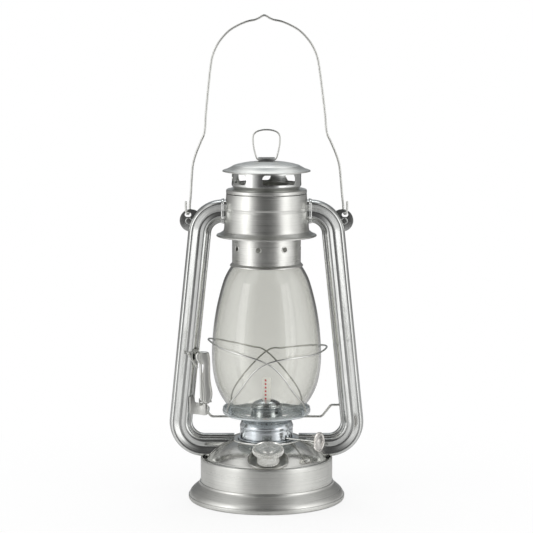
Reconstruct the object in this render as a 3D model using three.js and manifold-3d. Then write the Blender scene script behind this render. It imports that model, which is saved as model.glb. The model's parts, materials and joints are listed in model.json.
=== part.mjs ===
// Tubular oil lantern. Millimetres, +Z up, origin at the centre of the foot's underside.
// The front is -Y, where the filler cap is. The wick knob is on the +X side, the lift lever on the -X side.
import * as THREE from 'three';
import { mergeVertices } from 'three/addons/utils/BufferGeometryUtils.js';
import Module from 'manifold-3d';

// Sheet, clearances and mesh counts
const sheet = 0.6;
const fit = 0.3;
const overrun = 6;
const weldDistance = 0.001;
const bigTurns = 24;
const midTurns = 18;
const smallTurns = 12;
const wireSides = 5;

// Fount and foot
const tankR = 55.2;
const tankFootZ = 15;
const shoulderZ = 35.6;
const shoulderRound = 2;
const ledgeW = 2.6;
const beadDip = 0.7;
const domeFootZ = 36.4;
const domeTopR = 29;
const domeTopZ = 50.6;
const domeBulge = 2.6;
const domeSteps = 3;
const socketR = 18;
const footFlare = 9.8;
const footRimR = 2;
const footLineShares = [0.3, 0.8];
const footFlatW = 2.4;
const bottomZ = 11.5;
const bottomRimH = 2;

// Filler, on its own tilted axis
const fillerX = 1.3;
const fillerZ = 39.5;
const fillerTilt = THREE.MathUtils.degToRad(16.1);
const wellShare = 0.463;
const neckShare = 0.603;
const neckH = 7;
const capSkirtShare = 0.738;
const capOver = 0.2;
const capRimH = 2.4;
const capH = 12.3;
const capRecess = 0.9;
const capEdgeW = 1.5;
const capSlopeW = 0.9;
const capBossShare = 0.333;
const capTeeth = 24;
const capToothH = 0.35;
const gasketH = 1;

// Burner and wick
const flangeR = 28;
const flangeH = 0.8;
const socketDrop = 5;
const burnerR = 22.8;
const burnerWallH = 7.6;
const burnerShoulderH = 5.4;
const burnerTopR = 14;
const waistDip = 0.7;
const coneSkirtR = 16.6;
const coneR = 12.2;
const coneTopZ = 83.8;
const coneBeadZ = 77.2;
const coneBeadH = 2;
const coneBeadOut = 0.8;
const coneFlareZ = 73.4;
const flameSlotL = 23.4;
const flameSlotW = 4.6;
const wickW = 7.6;
const wickT = 2;
const wickTopZ = 102.2;
const wickFootZ = 33;
const wickTubeFootZ = 42;

// Wick drive, on its own turned axis
const driveTurn = THREE.MathUtils.degToRad(-29.3);
const spindleOff = 5;
const spindleZ = 53.6;
const spindleR = 0.75;
const spindleBack = 12;
const knobAt = 52.4;
const knobR = 8.2;
const knobT = 2.6;
const knobTeeth = 24;
const knobToothH = 0.4;
const knobHubR = 2.8;
const knobFaceR = 6.6;
const knobRecess = 0.8;
const sprocketT = 1.2;
const sprocketApart = 4.4;
const sprocketTeeth = 8;
const sprocketToothH = 1.1;

// Globe carriage
const lift = 11;
const plateR = 36.9;
const plateHoleR = 17.6;
const platePanZ = 71.6;
const plateRimH = 6.2;
const plateCurl = 1;
const platePanR = 33.4;
const airHoleR = 1.1;
const airRingR = [21.4, 26.4];
const airHoles = [8, 12];
const airHoleSides = 5;
const globeR = 45.6;
const globeH = 130.4;
const globeWall = 2;
const globeOutlineShares = [
  [0.645, 0], [0.66, 0.03], [0.8, 0.095], [0.92, 0.182], [0.988, 0.29], [0.998, 0.41],
  [0.955, 0.58], [0.866, 0.76], [0.722, 0.906], [0.655, 0.946], [0.594, 0.966], [0.588, 1],
];
const liftWireR = 0.9;
const liftWireZ = 69.2;
const liftBowR = 28;
const liftBowSteps = 8;
const liftKneeShare = 0.8;
const liftKneeX = 46.2;
const liftWireRise = 9.9;
const liftWireReach = 2.4;
const guardWireR = 0.75;
const guardTipR = 49.4;
const guardSideR = 47.6;
const guardWireApart = 1.8;
const guardTipZ = [134.6, 128.4];
const guardCrossZ = 121.4;
const guardFootR = 36.3;
const guardFootGap = 1.2;
const guardSteps = 24;
const guardTurns = [30, 90, 122, 150];
const guardDipShare = 0.2;
const guardLowShare = 0.765;

// Globe collar, chimney, crown and cap
const collarR = 28.5;
const collarLipR = 30.4;
const collarLipH = 2.6;
const collarRise = 20.7;
const collarHoleR = 2.2;
const collarHoleRise = 9.5;
const collarHoles = 8;
const collarHoleTurn = THREE.MathUtils.degToRad(-13.6);
const chimneyR = 26;
const chimneyOverlap = 8;
const springFlangeR = 31.2;
const springFlangeH = 1.2;
const springWireR = 0.7;
const springRoom = 0.6;
const springTurns = 5;
const stepsPerTurn = 8;
const springWireSides = 5;
const crownR = 28.8;
const crownNeckR = 26.9;
const crownNeckH = 3;
const crownFlareH = 2.6;
const crownSlotH = 8.4;
const crownSlotUp = 4.4;
const crownSlots = 4;
const crownSlotSpan = THREE.MathUtils.degToRad(62);
const crownSlotMid = THREE.MathUtils.degToRad(24);
const slotSteps = 4;
const slotBendShare = 0.3;
const slotTipShare = 0.04;
const canopyR = 36.4;
const canopyBreakR = 27.2;
const canopyRise = 19.7;
const canopyDrop = 4.3;
const canopyCrownH = 3.6;
const canopyArchShare = 0.36;
const canopyFlatR = 8.5;
const canopyMidShare = 0.59;
const canopySag = 0.6;
const canopyLipH = 0.7;
const strapW = 14;
const strapL = 12;
const ringWireR = 0.75;
const ringBottomW = 17.2;
const ringTopW = 24.4;
const ringH = 25;
const ringBottomBend = 2;
const ringTopBend = 6;

// Hood
const hoodBottomR = 34.5;
const hoodTopR = 32.5;
const hoodRise = 23.7;
const hoodH = 33.7;
const hoodGrooveUp = 17;
const hoodGrooveH = 1.6;
const hoodGrooveDip = 0.6;
const hoodSkirtR = 41.6;
const hoodSkirtH = 4.8;
const hoodSkirtShares = [0.55, 0.1];
const hoodRimW = 0.8;
const hoodRingH = 3.4;
const hoodRingRound = 1.2;

// Side tubes
const tubeW = 19;
const tubeD = 14.4;
const tubeSwellShare = 1.17;
const tubeValleyShare = 0.28;
const tubeValleyWideShare = 0.34;
const tubePoints = 16;
const tubeUp = 15.4;
const tubeTopBend = 19;
const tubeTopBendX = 36.4;
const tubeLowZ = 45.3;
const tubeLowBend = 20;
const tubeLowBendIn = 3.6;
const tubeBendSteps = 6;
const upperCollarL = 3;
const upperCollarT = 0.8;
const saddleLip = 2.6;
const slotW = 3;
const slotExtra = 1.6;

// Bail and its ears
const earR = 9;
const earOut = 25.6;
const earDrop = 7.6;
const earT = 1.2;
const earHoleR = 3.6;
const earHoleOut = 2.2;
const earHoleUp = 3.4;
const bailWireR = 1;
const bailPivotOut = 1.6;
const bailEyeR = 2.8;
const bailEyeSteps = 6;
const bailEyeH = 8.1;
const bailTailH = 6;
const bailKneeX = 50.4;
const bailKneeH = 64.5;
const bailElbowX = 61.4;
const bailElbowH = 29.5;
const bailArchR = 46;
const bailArchH = 111.5;
const bailPeakH = 160.7;
const bailNotchX = 8.6;
const bailNotchBend = 3;
const bailKneeBend = 9;
const bailElbowBend = 40;
const bailArchSteps = 6;
const bailArchFrom = THREE.MathUtils.degToRad(4);
const bailArchTo = THREE.MathUtils.degToRad(74);

// Lift lever, bracket and catch
const leverY = -12.1;
const leverD = 5;
const leverPinY = 0.5;
const leverT = 0.7;
const leverX = -51;
const leverFootZ = 82.4;
const leverH = 43;
const leverTipW = 7.8;
const leverFootCut = [-3.6, 2.9];
// Across, as shares of leverTipW, and up, as shares of leverH
const leverOutlineShares = [
  [-0.41, 0], [-0.47, 0.14], [-0.5, 0.37], [-0.51, 0.65], [-0.56, 0.77], [-0.97, 0.85], [-1, 0.96], [-0.69, 1],
  [0.21, 1], [0.46, 0.95], [0.51, 0.79], [0.55, 0.42], [0.79, 0.23], [0.72, 0.07], [0.41, 0],
];
const leverPinR = 0.9;
const leverPinOver = 1;
const bracketX = -67.4;
const bracketTopZ = 87.2;
const bracketArmZ = 71.4;
const bracketArmH = 7.4;
const bracketStripW = 7;
const bracketT = 0.8;
const bracketY = -7.9;
const bracketArmL = 19.6;
const bracketEarT = 1;
const bracketEarR = 2;
const bracketEarX = -5.2;
const catchWireR = 0.6;
const catchY = -8.4;
const catchTopZ = 123.4;
const catchFootX = -62.6;
const catchFootZ = 111.8;
const catchHookX = -61.4;
const catchHookH = 13.4;
const catchBend = 1.2;

// Places worked out from the sizes above
const tankInnerR = tankR - sheet;
const domeFootR = tankR - shoulderRound - ledgeW;
const footR = tankR + footFlare;
const fillerY = -(tankR + flangeR) / 2;
const wellR = (tankR - flangeR) * wellShare;
const neckR = wellR * neckShare;
const capSkirtR = wellR * capSkirtShare;
const capRimR = wellR + capOver;
const capBossR = wellR * capBossShare;
const flangeZ = domeTopZ + beadDip / 2 + fit;
const burnerZ = flangeZ + flangeH + fit;
const waistZ = burnerZ + burnerWallH;
const burnerTopZ = waistZ + burnerShoulderH;
const globeFootZ = platePanZ + sheet + fit;
const globeTopZ = globeFootZ + globeH;
const collarLipZ = globeTopZ - globeH * (1 - globeOutlineShares.at(-3)[1]) + fit + sheet;
const collarTopZ = globeTopZ + collarRise;
const collarHoleZ = globeTopZ + collarHoleRise;
const hoodBottomZ = globeTopZ + hoodRise;
const hoodTopZ = hoodBottomZ + hoodH;
const hoodGrooveZ = hoodBottomZ + hoodGrooveUp;
const canopyBreakZ = hoodTopZ + canopyRise;
const canopyTipZ = canopyBreakZ - canopyDrop;
const canopyTopZ = canopyBreakZ + canopyCrownH;
const tubeTopZ = hoodBottomZ + tubeUp;
const tubeLowBendX = tankR - tubeLowBendIn;
const earX = tubeTopBendX + earOut;
const earZ = tubeTopZ - earDrop;
const earHoleX = earX + earHoleOut;
const earHoleZ = earZ + earHoleUp;
const bailPivotX = earX + bailPivotOut;
const earEdgeZ = earZ + Math.sqrt(earR ** 2 - bailPivotOut ** 2);
const earHoleTopZ = earHoleZ + Math.sqrt(earHoleR ** 2 - (earHoleOut - bailPivotOut) ** 2);
const bailPivotZ = (earEdgeZ + earHoleTopZ) / 2;
const hoodRingInnerR = crownNeckR + fit;
const springTopZ = hoodTopZ - sheet - springWireR - fit;
const springFootZ = collarTopZ + fit + springFlangeH + springWireR + fit;
const springR = hoodTopR - sheet - springWireR - springRoom;
const crownZ = hoodTopZ - crownNeckH + sheet;
const crownTopZ = canopyBreakZ - sheet * 2 - fit - canopySag;
const ringZ = canopyTopZ + fit + ringWireR;

// Bare metal, glass, cotton and rubber
const finish = (color, roughness, metalness) => new THREE.MeshStandardMaterial({ color, roughness, metalness });
const brightTin = finish('#c9cbca', 0.18, 1);
const satinTin = finish('#b9bab4', 0.36, 1);
const blueZinc = finish('#b4bcc2', 0.3, 1);
const steelWire = finish('#b5b5b2', 0.28, 1);
const palePlated = finish('#cfc8c0', 0.25, 1);
const clearGlass = new THREE.MeshStandardMaterial({
  color: '#e6eaea', roughness: 0.03, metalness: 0, transparent: true, opacity: 0.3,
});
const cotton = finish('#efe6cf', 0.9, 0);
const rubber = finish('#2c2b2a', 0.8, 0);

const wasm = await Module();
wasm.setup();

// A mesh with shared corners, no flat triangles and its faces pointing out
function welded(source) {
  const bare = source.clone();
  bare.deleteAttribute('normal');
  bare.deleteAttribute('uv');
  const merged = mergeVertices(bare, weldDistance);
  const place = merged.attributes.position;
  const corners = merged.index.array;
  const faces = [];
  for (let i = 0; i < corners.length; i += 3) {
    const [a, b, c] = corners.slice(i, i + 3);
    if (a !== b && b !== c && c !== a) faces.push([a, b, c]);
  }
  const at = (i) => new THREE.Vector3().fromBufferAttribute(place, i);
  const volume = faces.reduce((sum, [a, b, c]) => sum + at(a).dot(at(b).cross(at(c))), 0);
  const order = volume < 0 ? faces.map(([a, b, c]) => [a, c, b]) : faces;
  merged.setIndex(order.flat());
  return merged;
}

function toSolid(geometry) {
  const mesh = welded(geometry);
  return new wasm.Manifold(new wasm.Mesh({
    numProp: 3,
    vertProperties: new Float32Array(mesh.attributes.position.array),
    triVerts: new Uint32Array(mesh.index.array),
  }));
}

function toGeometry(solid) {
  const mesh = solid.getMesh();
  const geometry = new THREE.BufferGeometry();
  geometry.setAttribute('position', new THREE.BufferAttribute(new Float32Array(mesh.vertProperties), 3));
  geometry.setIndex(new THREE.BufferAttribute(new Uint32Array(mesh.triVerts), 1));
  return geometry;
}

function cut(base, ...tools) {
  return toGeometry(tools.reduce((solid, tool) => solid.subtract(toSolid(tool)), toSolid(base)));
}

function join(base, ...others) {
  return toGeometry(others.reduce((solid, other) => solid.add(toSolid(other)), toSolid(base)));
}

function common(base, other) {
  return toGeometry(toSolid(base).intersect(toSolid(other)));
}

// A closed outline of [radius, height] points turned about Z
function turned(outline, turns) {
  const loop = outline.map(([r, z]) => new THREE.Vector2(r, z));
  if (outline[0][0] > 0) loop.push(loop[0].clone());
  const geometry = new THREE.LatheGeometry(loop, turns);
  geometry.rotateX(Math.PI / 2);
  return welded(geometry);
}

// The outline of a wall: the line itself and its copy moved sideways by the wall's thickness
function wallOutline(line, wall) {
  const moved = line.map((point, i) => {
    const before = line[Math.max(i - 1, 0)];
    const after = line[Math.min(i + 1, line.length - 1)];
    const along = new THREE.Vector2(after[0] - before[0], after[1] - before[1]).normalize();
    return [Math.max(point[0] + along.y * wall, 0), point[1] - along.x * wall];
  });
  return [...line, ...moved.reverse()];
}

// A block between two corners
function block(low, high) {
  const size = high.map((value, i) => value - low[i]);
  const geometry = new THREE.BoxGeometry(...size);
  geometry.translate(...low.map((value, i) => value + size[i] / 2));
  return geometry;
}

// A disc or ring with its axis on Z, from height low to height high
function disc(outerR, low, high, turns) {
  const geometry = new THREE.CylinderGeometry(outerR, outerR, high - low, turns);
  geometry.rotateX(Math.PI / 2);
  geometry.translate(0, 0, (low + high) / 2);
  return geometry;
}

// A route through given stations, for a section to follow
class Route extends THREE.Curve {
  constructor(stations) {
    super();
    this.stations = stations;
  }

  getPoint(t, target = new THREE.Vector3()) {
    const at = t * (this.stations.length - 1);
    const low = Math.min(Math.floor(at + weldDistance), this.stations.length - 2);
    return target.lerpVectors(this.stations[low], this.stations[low + 1], at - low);
  }

  getPointAt(u, target) {
    return this.getPoint(u, target);
  }

  getTangentAt(u, target = new THREE.Vector3()) {
    const last = this.stations.length - 1;
    const at = Math.round(u * last);
    const here = this.stations[at];
    const back = here.clone().sub(this.stations[Math.max(at - 1, 0)]).normalize();
    const ahead = this.stations[Math.min(at + 1, last)].clone().sub(here).normalize();
    return target.addVectors(back, ahead).normalize();
  }
}

function swept(shape, stations) {
  return welded(new THREE.ExtrudeGeometry(shape, {
    steps: stations.length - 1,
    extrudePath: new Route(stations),
    bevelEnabled: false,
  }));
}

function roundShape(radius, sides) {
  const points = Array.from({ length: sides }, (_, i) => {
    const turn = (i * 2 * Math.PI) / sides;
    return new THREE.Vector2(radius * Math.cos(turn), radius * Math.sin(turn));
  });
  return new THREE.Shape(points);
}

function wire(stations, radius, sides = wireSides) {
  return swept(roundShape(radius, sides), stations);
}

// Corners [x, y, z, bend] joined by straight stretches, with each corner bent to its own radius
function bentRoute(corners, bendSteps) {
  const points = corners.map(([x, y, z]) => new THREE.Vector3(x, y, z));
  const route = [points[0]];
  for (let i = 1; i < points.length - 1; i += 1) {
    const bend = corners[i][3] ?? 0;
    const toBack = points[i - 1].clone().sub(points[i]);
    const toAhead = points[i + 1].clone().sub(points[i]);
    const turn = Math.PI - toBack.angleTo(toAhead);
    const back = toBack.normalize();
    const ahead = toAhead.normalize();
    if (bend === 0 || turn < weldDistance) {
      route.push(points[i]);
    } else {
      const inward = back.clone().add(ahead).normalize();
      const centre = points[i].clone().addScaledVector(inward, bend / Math.cos(turn / 2));
      const across = back.clone().sub(ahead).normalize();
      for (let k = 0; k <= bendSteps; k += 1) {
        const swing = turn * (0.5 - k / bendSteps);
        const spot = centre.clone().addScaledVector(inward, -bend * Math.cos(swing));
        route.push(spot.addScaledVector(across, bend * Math.sin(swing)));
      }
    }
  }
  route.push(points.at(-1));
  return route;
}

// The pressed dome of the fount, from its foot on the ledge up to the burner flange
function domeLine() {
  const foot = new THREE.Vector2(domeFootR, domeFootZ);
  const top = new THREE.Vector2(domeTopR, domeTopZ);
  const along = top.clone().sub(foot).normalize();
  const middle = foot.clone().add(top).divideScalar(2);
  const control = middle.add(new THREE.Vector2(along.y, -along.x).multiplyScalar(domeBulge));
  const curve = new THREE.QuadraticBezierCurve(foot, control, top);
  return curve.getPoints(domeSteps).map((point) => [point.x, point.y]);
}

function fountLine() {
  const ledgeR = tankR - shoulderRound - ledgeW;
  return [
    [tankR, tankFootZ],
    [tankR, shoulderZ - shoulderRound],
    [tankR - shoulderRound * (1 - Math.SQRT1_2), shoulderZ - shoulderRound * (1 - Math.SQRT1_2)],
    [tankR - shoulderRound, shoulderZ],
    [ledgeR + ledgeW / 2, shoulderZ - beadDip / 2],
    ...domeLine(),
    [socketR + fit + sheet, domeTopZ + beadDip / 2],
    [socketR + fit, domeTopZ + beadDip / 2],
  ];
}

// Everything inside the fount's outer face, grown outwards by a margin
function fountSolid(margin) {
  const grown = fountLine().map(([r, z]) => [r, z + margin]);
  return turned([[0, tankFootZ - overrun], [tankR + overrun, tankFootZ - overrun],
    [tankR + overrun, shoulderZ - shoulderRound], ...grown.slice(3, -1), [0, grown.at(-1)[1]]], bigTurns);
}

// Moves a geometry from the filler's tilted axis to the lantern
function toFiller(geometry) {
  geometry.rotateX(fillerTilt);
  geometry.translate(fillerX, fillerY, fillerZ);
  return geometry;
}

function fountShell() {
  const shell = turned(wallOutline(fountLine(), -sheet), bigTurns);
  return cut(shell, toFiller(disc(wellR + fit, -overrun, overrun * 4, midTurns)));
}

function footSkirt() {
  const rimX = footR - footRimR;
  const neckX = tankR;
  const outer = [
    [neckX, tankFootZ - fit],
    [neckX + (rimX - neckX) * footLineShares[0], tankFootZ - footRimR],
    [neckX + (rimX - neckX) * footLineShares[1], (tankFootZ + footRimR * 3) / 2],
    [footR - footRimR / 2, footRimR * 3],
    [footR - sheet, footRimR * 2],
    [footR, footRimR],
    [footR - sheet, sheet],
    [footR - footRimR / 2, 0],
    [footR - footRimR / 2 - footFlatW, 0],
    [footR - footRimR * 2, footRimR],
  ];
  const inner = outer.slice(1, 5).map(([r, z]) => [r - sheet * 1.6, z - sheet * 1.2]);
  return turned([...outer, ...inner.reverse(), [neckX - sheet, tankFootZ - fit]], bigTurns);
}

function fountBottom() {
  const rimR = tankInnerR - fit;
  return turned([
    [0, bottomZ], [rimR - bottomRimH * 2, bottomZ],
    [rimR - sheet, bottomZ + bottomRimH], [rimR, bottomZ + bottomRimH],
    [rimR, bottomZ + bottomRimH - sheet], [rimR - bottomRimH * 2 + sheet, bottomZ - sheet],
    [0, bottomZ - sheet],
  ], bigTurns);
}

// The sunk filler seat: a round well in the dome, with the threaded neck in the middle
function fillerWell() {
  const tall = overrun * 4;
  const ring = turned([
    [wellR, -fit - sheet], [wellR, tall], [wellR - sheet, tall], [wellR - sheet, -fit - sheet],
  ], midTurns);
  const wall = common(toFiller(ring), fountSolid(0));
  const seat = turned([
    [wellR - sheet / 2, -fit - sheet], [wellR - sheet / 2, -fit], [neckR, -fit], [neckR, neckH],
    [neckR - sheet, neckH], [neckR - sheet, -fit - sheet],
  ], midTurns);
  return join(wall, toFiller(seat));
}

function burnerFlange() {
  const socketFoot = flangeZ - socketDrop;
  return turned([
    [flangeR - flangeH, flangeZ + flangeH], [flangeR, flangeZ + flangeH / 2], [flangeR - flangeH, flangeZ],
    [socketR, flangeZ], [socketR, socketFoot],
    [socketR - sheet, socketFoot], [socketR - sheet, flangeZ + flangeH],
  ], midTurns);
}

// The burner body: straight wall, waist bead, rounded shoulder and a flat top, open below
function burnerBody() {
  const shoulder = new THREE.EllipseCurve(
    burnerTopR + overrun, waistZ, burnerR - burnerTopR - overrun, burnerShoulderH, 0, Math.PI / 2,
  );
  const line = [
    [burnerR, burnerZ],
    [burnerR, waistZ - waistDip * 2],
    [burnerR - waistDip, waistZ - waistDip],
    ...shoulder.getPoints(4).map((point) => [point.x, point.y]),
    [burnerTopR, burnerTopZ],
  ];
  const shell = turned(wallOutline(line, -sheet), midTurns);
  const exit = block(
    [0, -spindleOff - spindleR - fit, burnerZ - overrun],
    [burnerR + overrun, -spindleOff + spindleR + fit, spindleZ + spindleR * 2 + fit],
  );
  exit.rotateZ(driveTurn);
  return cut(shell, exit);
}

// The flame cone: flared skirt, bead and a slotted dome over the wick
function burnerCone() {
  const domeR = coneR - sheet / 2;
  const domeZ = coneBeadZ + coneBeadH;
  const dome = new THREE.EllipseCurve(0, domeZ, domeR, coneTopZ - domeZ, 0, Math.PI / 2);
  const line = [
    [coneSkirtR, burnerTopZ + sheet + fit],
    [coneSkirtR - sheet, (burnerTopZ + coneFlareZ) / 2],
    [coneR + sheet, coneFlareZ],
    [coneR, coneBeadZ - coneBeadH / 2],
    [coneR + coneBeadOut, coneBeadZ + coneBeadH / 4],
    ...dome.getPoints(5).map((point) => [point.x, point.y]),
  ];
  const outline = wallOutline(line.map(([r, z]) => [Math.max(r, weldDistance), z]), -sheet);
  const shell = turned(outline.map(([r, z]) => [r <= weldDistance * 2 ? 0 : r, z]), midTurns);
  const slotTopZ = coneTopZ + overrun;
  const slot = block([-flameSlotL / 2, -flameSlotW / 2, domeZ], [flameSlotL / 2, flameSlotW / 2, slotTopZ]);
  const sideNotch = block([coneR - overrun, -flameSlotW / 2, coneFlareZ + sheet * 2],
    [coneR + overrun, flameSlotW / 2, coneBeadZ - coneBeadH / 2]);
  return cut(shell, slot.rotateZ(driveTurn), sideNotch.rotateZ(driveTurn));
}

// The flat wick tube, with windows for the two toothed wheels
function wickTube() {
  const inner = [wickW / 2 + fit, wickT / 2 + fit];
  const outer = inner.map((value) => value + sheet);
  const topZ = coneBeadZ + coneBeadH + sheet;
  const shell = cut(
    block([-outer[0], -outer[1], wickTubeFootZ], [outer[0], outer[1], topZ]),
    block([-inner[0], -inner[1], wickTubeFootZ - overrun], [inner[0], inner[1], topZ + overrun]),
  );
  const windows = [-1, 1].map((side) => block(
    [side * sprocketApart / 2 - sprocketT / 2 - fit, -outer[1] - overrun, spindleZ - sprocketTipR() + sheet],
    [side * sprocketApart / 2 + sprocketT / 2 + fit, 0, spindleZ + sprocketTipR() - sheet],
  ));
  return cut(shell, ...windows);
}

function sprocketTipR() {
  return spindleOff - wickT / 2 - fit;
}

function toothedShape(tipR, toothH, teeth) {
  const points = Array.from({ length: teeth * 2 }, (_, i) => {
    const turn = (i * Math.PI) / teeth;
    const radius = i % 2 === 0 ? tipR : tipR - toothH;
    return new THREE.Vector2(radius * Math.cos(turn), radius * Math.sin(turn));
  });
  return new THREE.Shape(points);
}

// A toothed or serrated wheel with its axis on X, centred on the origin
function wheel(shape, boreR, thickness) {
  shape.holes.push(new THREE.Path(roundShape(boreR, smallTurns / 2).getPoints().reverse()));
  const geometry = new THREE.ExtrudeGeometry(shape, { depth: thickness, bevelEnabled: false });
  geometry.translate(0, 0, -thickness / 2);
  geometry.rotateY(Math.PI / 2);
  return welded(geometry);
}

function wickKnob() {
  const plain = wheel(toothedShape(knobR, knobToothH, knobTeeth), spindleR + fit, knobT);
  const groove = turned([
    [knobHubR, knobT / 2 - knobRecess], [knobHubR, knobT / 2 + overrun], [knobFaceR, knobT / 2 + overrun],
    [knobFaceR, knobT / 2 - knobRecess],
  ], smallTurns);
  return cut(plain, groove.rotateY(Math.PI / 2));
}

function wickSpindle() {
  const length = knobAt + knobT / 2 + spindleBack;
  const geometry = new THREE.CylinderGeometry(spindleR, spindleR, length, wireSides + 2);
  geometry.rotateZ(Math.PI / 2);
  geometry.translate(length / 2 - spindleBack, 0, 0);
  return geometry;
}

function capGasket() {
  const low = neckH + fit;
  const innerR = neckR - sheet * 3;
  return turned([[innerR, low], [neckR, low], [neckR, low + gasketH], [innerR, low + gasketH]], smallTurns);
}

// The filler cap: a hollow skirt under a serrated rim, with a sunk top
function fillerCap() {
  const boreR = neckR + fit;
  const roof = neckH + fit + gasketH + fit;
  const rimFoot = capH - capRimH;
  const body = turned([
    [boreR, 0], [capSkirtR, 0], [capSkirtR, rimFoot - sheet], [capRimR - capToothH * 2, rimFoot + sheet / 2],
    [capRimR - capToothH * 2, capH - sheet], [capRimR - capEdgeW, capH],
    [capRimR - capEdgeW - capSlopeW, capH - capRecess],
    [capBossR, capH - capRecess], [capBossR - sheet, capH - capRecess / 2], [0, capH - capRecess / 2],
    [0, roof], [boreR, roof],
  ], midTurns);
  const rim = new THREE.ExtrudeGeometry(toothedShape(capRimR, capToothH, capTeeth), {
    depth: capRimH - sheet * 2, bevelEnabled: false,
  });
  rim.translate(0, 0, rimFoot + sheet);
  const hollow = disc(capRimR - sheet * 2, rimFoot, capH, midTurns);
  return join(body, cut(rim, hollow));
}

// The globe plate: a flat pan with two rings of air holes and a curled rim
function globePlate() {
  const rim = new THREE.EllipseCurve(platePanR, platePanZ + plateRimH / 2, plateR - platePanR, plateRimH / 2,
    -Math.PI / 2, Math.PI / 6);
  const line = [
    [plateHoleR, platePanZ],
    ...rim.getPoints(4).map((point) => [point.x, point.y]),
    [plateR - sheet / 2, platePanZ + plateRimH - plateCurl / 2],
    [plateR - plateCurl, platePanZ + plateRimH],
  ];
  const pan = turned(wallOutline(line, -sheet), bigTurns);
  const holes = airRingR.flatMap((radius, ring) => Array.from({ length: airHoles[ring] }, (_, i) => {
    const turn = ((i + ring / 2) * 2 * Math.PI) / airHoles[ring];
    const hole = disc(airHoleR, platePanZ - overrun, platePanZ + overrun, airHoleSides);
    return hole.translate(radius * Math.cos(turn), radius * Math.sin(turn), 0);
  }));
  return cut(pan, ...holes);
}

function globeGlass() {
  const outline = globeOutlineShares.map(([r, z]) => new THREE.Vector2(r * globeR, globeFootZ + z * globeH));
  const line = outline.map((point) => [point.x, point.y]);
  return turned(wallOutline(line, -globeWall), bigTurns);
}

// The wire that carries the plate: it bows behind the burner and runs up and out into both tubes
function liftWire() {
  const entryX = tubeInnerX(liftWireZ + liftWireRise) + liftWireReach;
  const kneeX = liftKneeX;
  const bow = Array.from({ length: liftBowSteps + 1 }, (_, i) => {
    const turn = Math.PI - (i * Math.PI) / liftBowSteps;
    return [liftBowR * Math.cos(turn), liftBowR * Math.sin(turn), liftWireZ];
  });
  const side = (sign) => [
    [sign * entryX, 0, liftWireZ + liftWireRise],
    [sign * (kneeX + liftWireRise * liftKneeShare), 0, liftWireZ + liftWireRise, liftWireR * 3],
    [sign * kneeX, 0, liftWireZ, liftWireR * 3],
  ];
  const route = bentRoute([...side(-1), ...bow, ...side(1).reverse()], 3);
  return wire(route, liftWireR);
}

// One guard wire: from the plate's rim at the back, round the globe's side tip, to the rim in front
function guardWire(tipZ, extraR) {
  const half = [
    [0, guardTipR + extraR, tipZ],
    [guardTurns[0], guardSideR + extraR * 2, tipZ - (tipZ - guardCrossZ) * guardDipShare],
    [guardTurns[1], guardSideR + extraR, guardCrossZ],
    [guardTurns[2], guardSideR - guardWireR + extraR, guardCrossZ * guardLowShare],
    [guardTurns[3], guardFootR + guardFootGap, platePanZ + plateRimH],
  ];
  const spots = [...half.slice(1).reverse().map(([turn, r, z]) => [-turn, r, z]), ...half];
  const points = spots.map((spot) => new THREE.Vector3(...spot));
  const curve = new THREE.CatmullRomCurve3(points, false, 'centripetal');
  const stations = curve.getSpacedPoints(guardSteps).map(({ x, y, z }) => {
    const angle = Math.PI + THREE.MathUtils.degToRad(x);
    return new THREE.Vector3(y * Math.cos(angle), y * Math.sin(angle), z);
  });
  return wire(stations, guardWireR, springWireSides);
}

function globeCollar() {
  const line = [
    [collarLipR, collarLipZ],
    [collarLipR - sheet, collarLipZ + sheet],
    [collarR, collarLipZ + collarLipH],
    [collarR, collarTopZ],
    [chimneyR + fit, collarTopZ],
  ];
  const shell = turned(wallOutline(line, -sheet), bigTurns);
  const holes = Array.from({ length: collarHoles }, (_, i) => {
    const hole = disc(collarHoleR, collarR - overrun, collarR + overrun, smallTurns / 2);
    hole.rotateX(Math.PI / 2);
    hole.translate(0, 0, collarHoleZ);
    return hole.rotateZ(collarHoleTurn + (i * 2 * Math.PI) / collarHoles);
  });
  return cut(shell, ...holes);
}

// The chimney: a plain tube with the flange that the spring presses on
function chimney() {
  const flangeFoot = collarTopZ + fit;
  const topZ = hoodTopZ - sheet;
  const innerR = chimneyR - sheet;
  return turned([
    [chimneyR, collarTopZ - chimneyOverlap], [chimneyR, flangeFoot], [springFlangeR, flangeFoot],
    [springFlangeR, flangeFoot + springFlangeH], [chimneyR, flangeFoot + springFlangeH], [chimneyR, topZ],
    [innerR, topZ], [innerR, collarTopZ - chimneyOverlap],
  ], bigTurns);
}

function canopySpring() {
  const steps = springTurns * stepsPerTurn;
  const stations = Array.from({ length: steps + 1 }, (_, i) => {
    const turn = (i * 2 * Math.PI) / stepsPerTurn;
    const height = springFootZ + ((springTopZ - springFootZ) * i) / steps;
    return new THREE.Vector3(springR * Math.cos(turn), springR * Math.sin(turn), height);
  });
  return wire(stations, springWireR, springWireSides);
}

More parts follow.
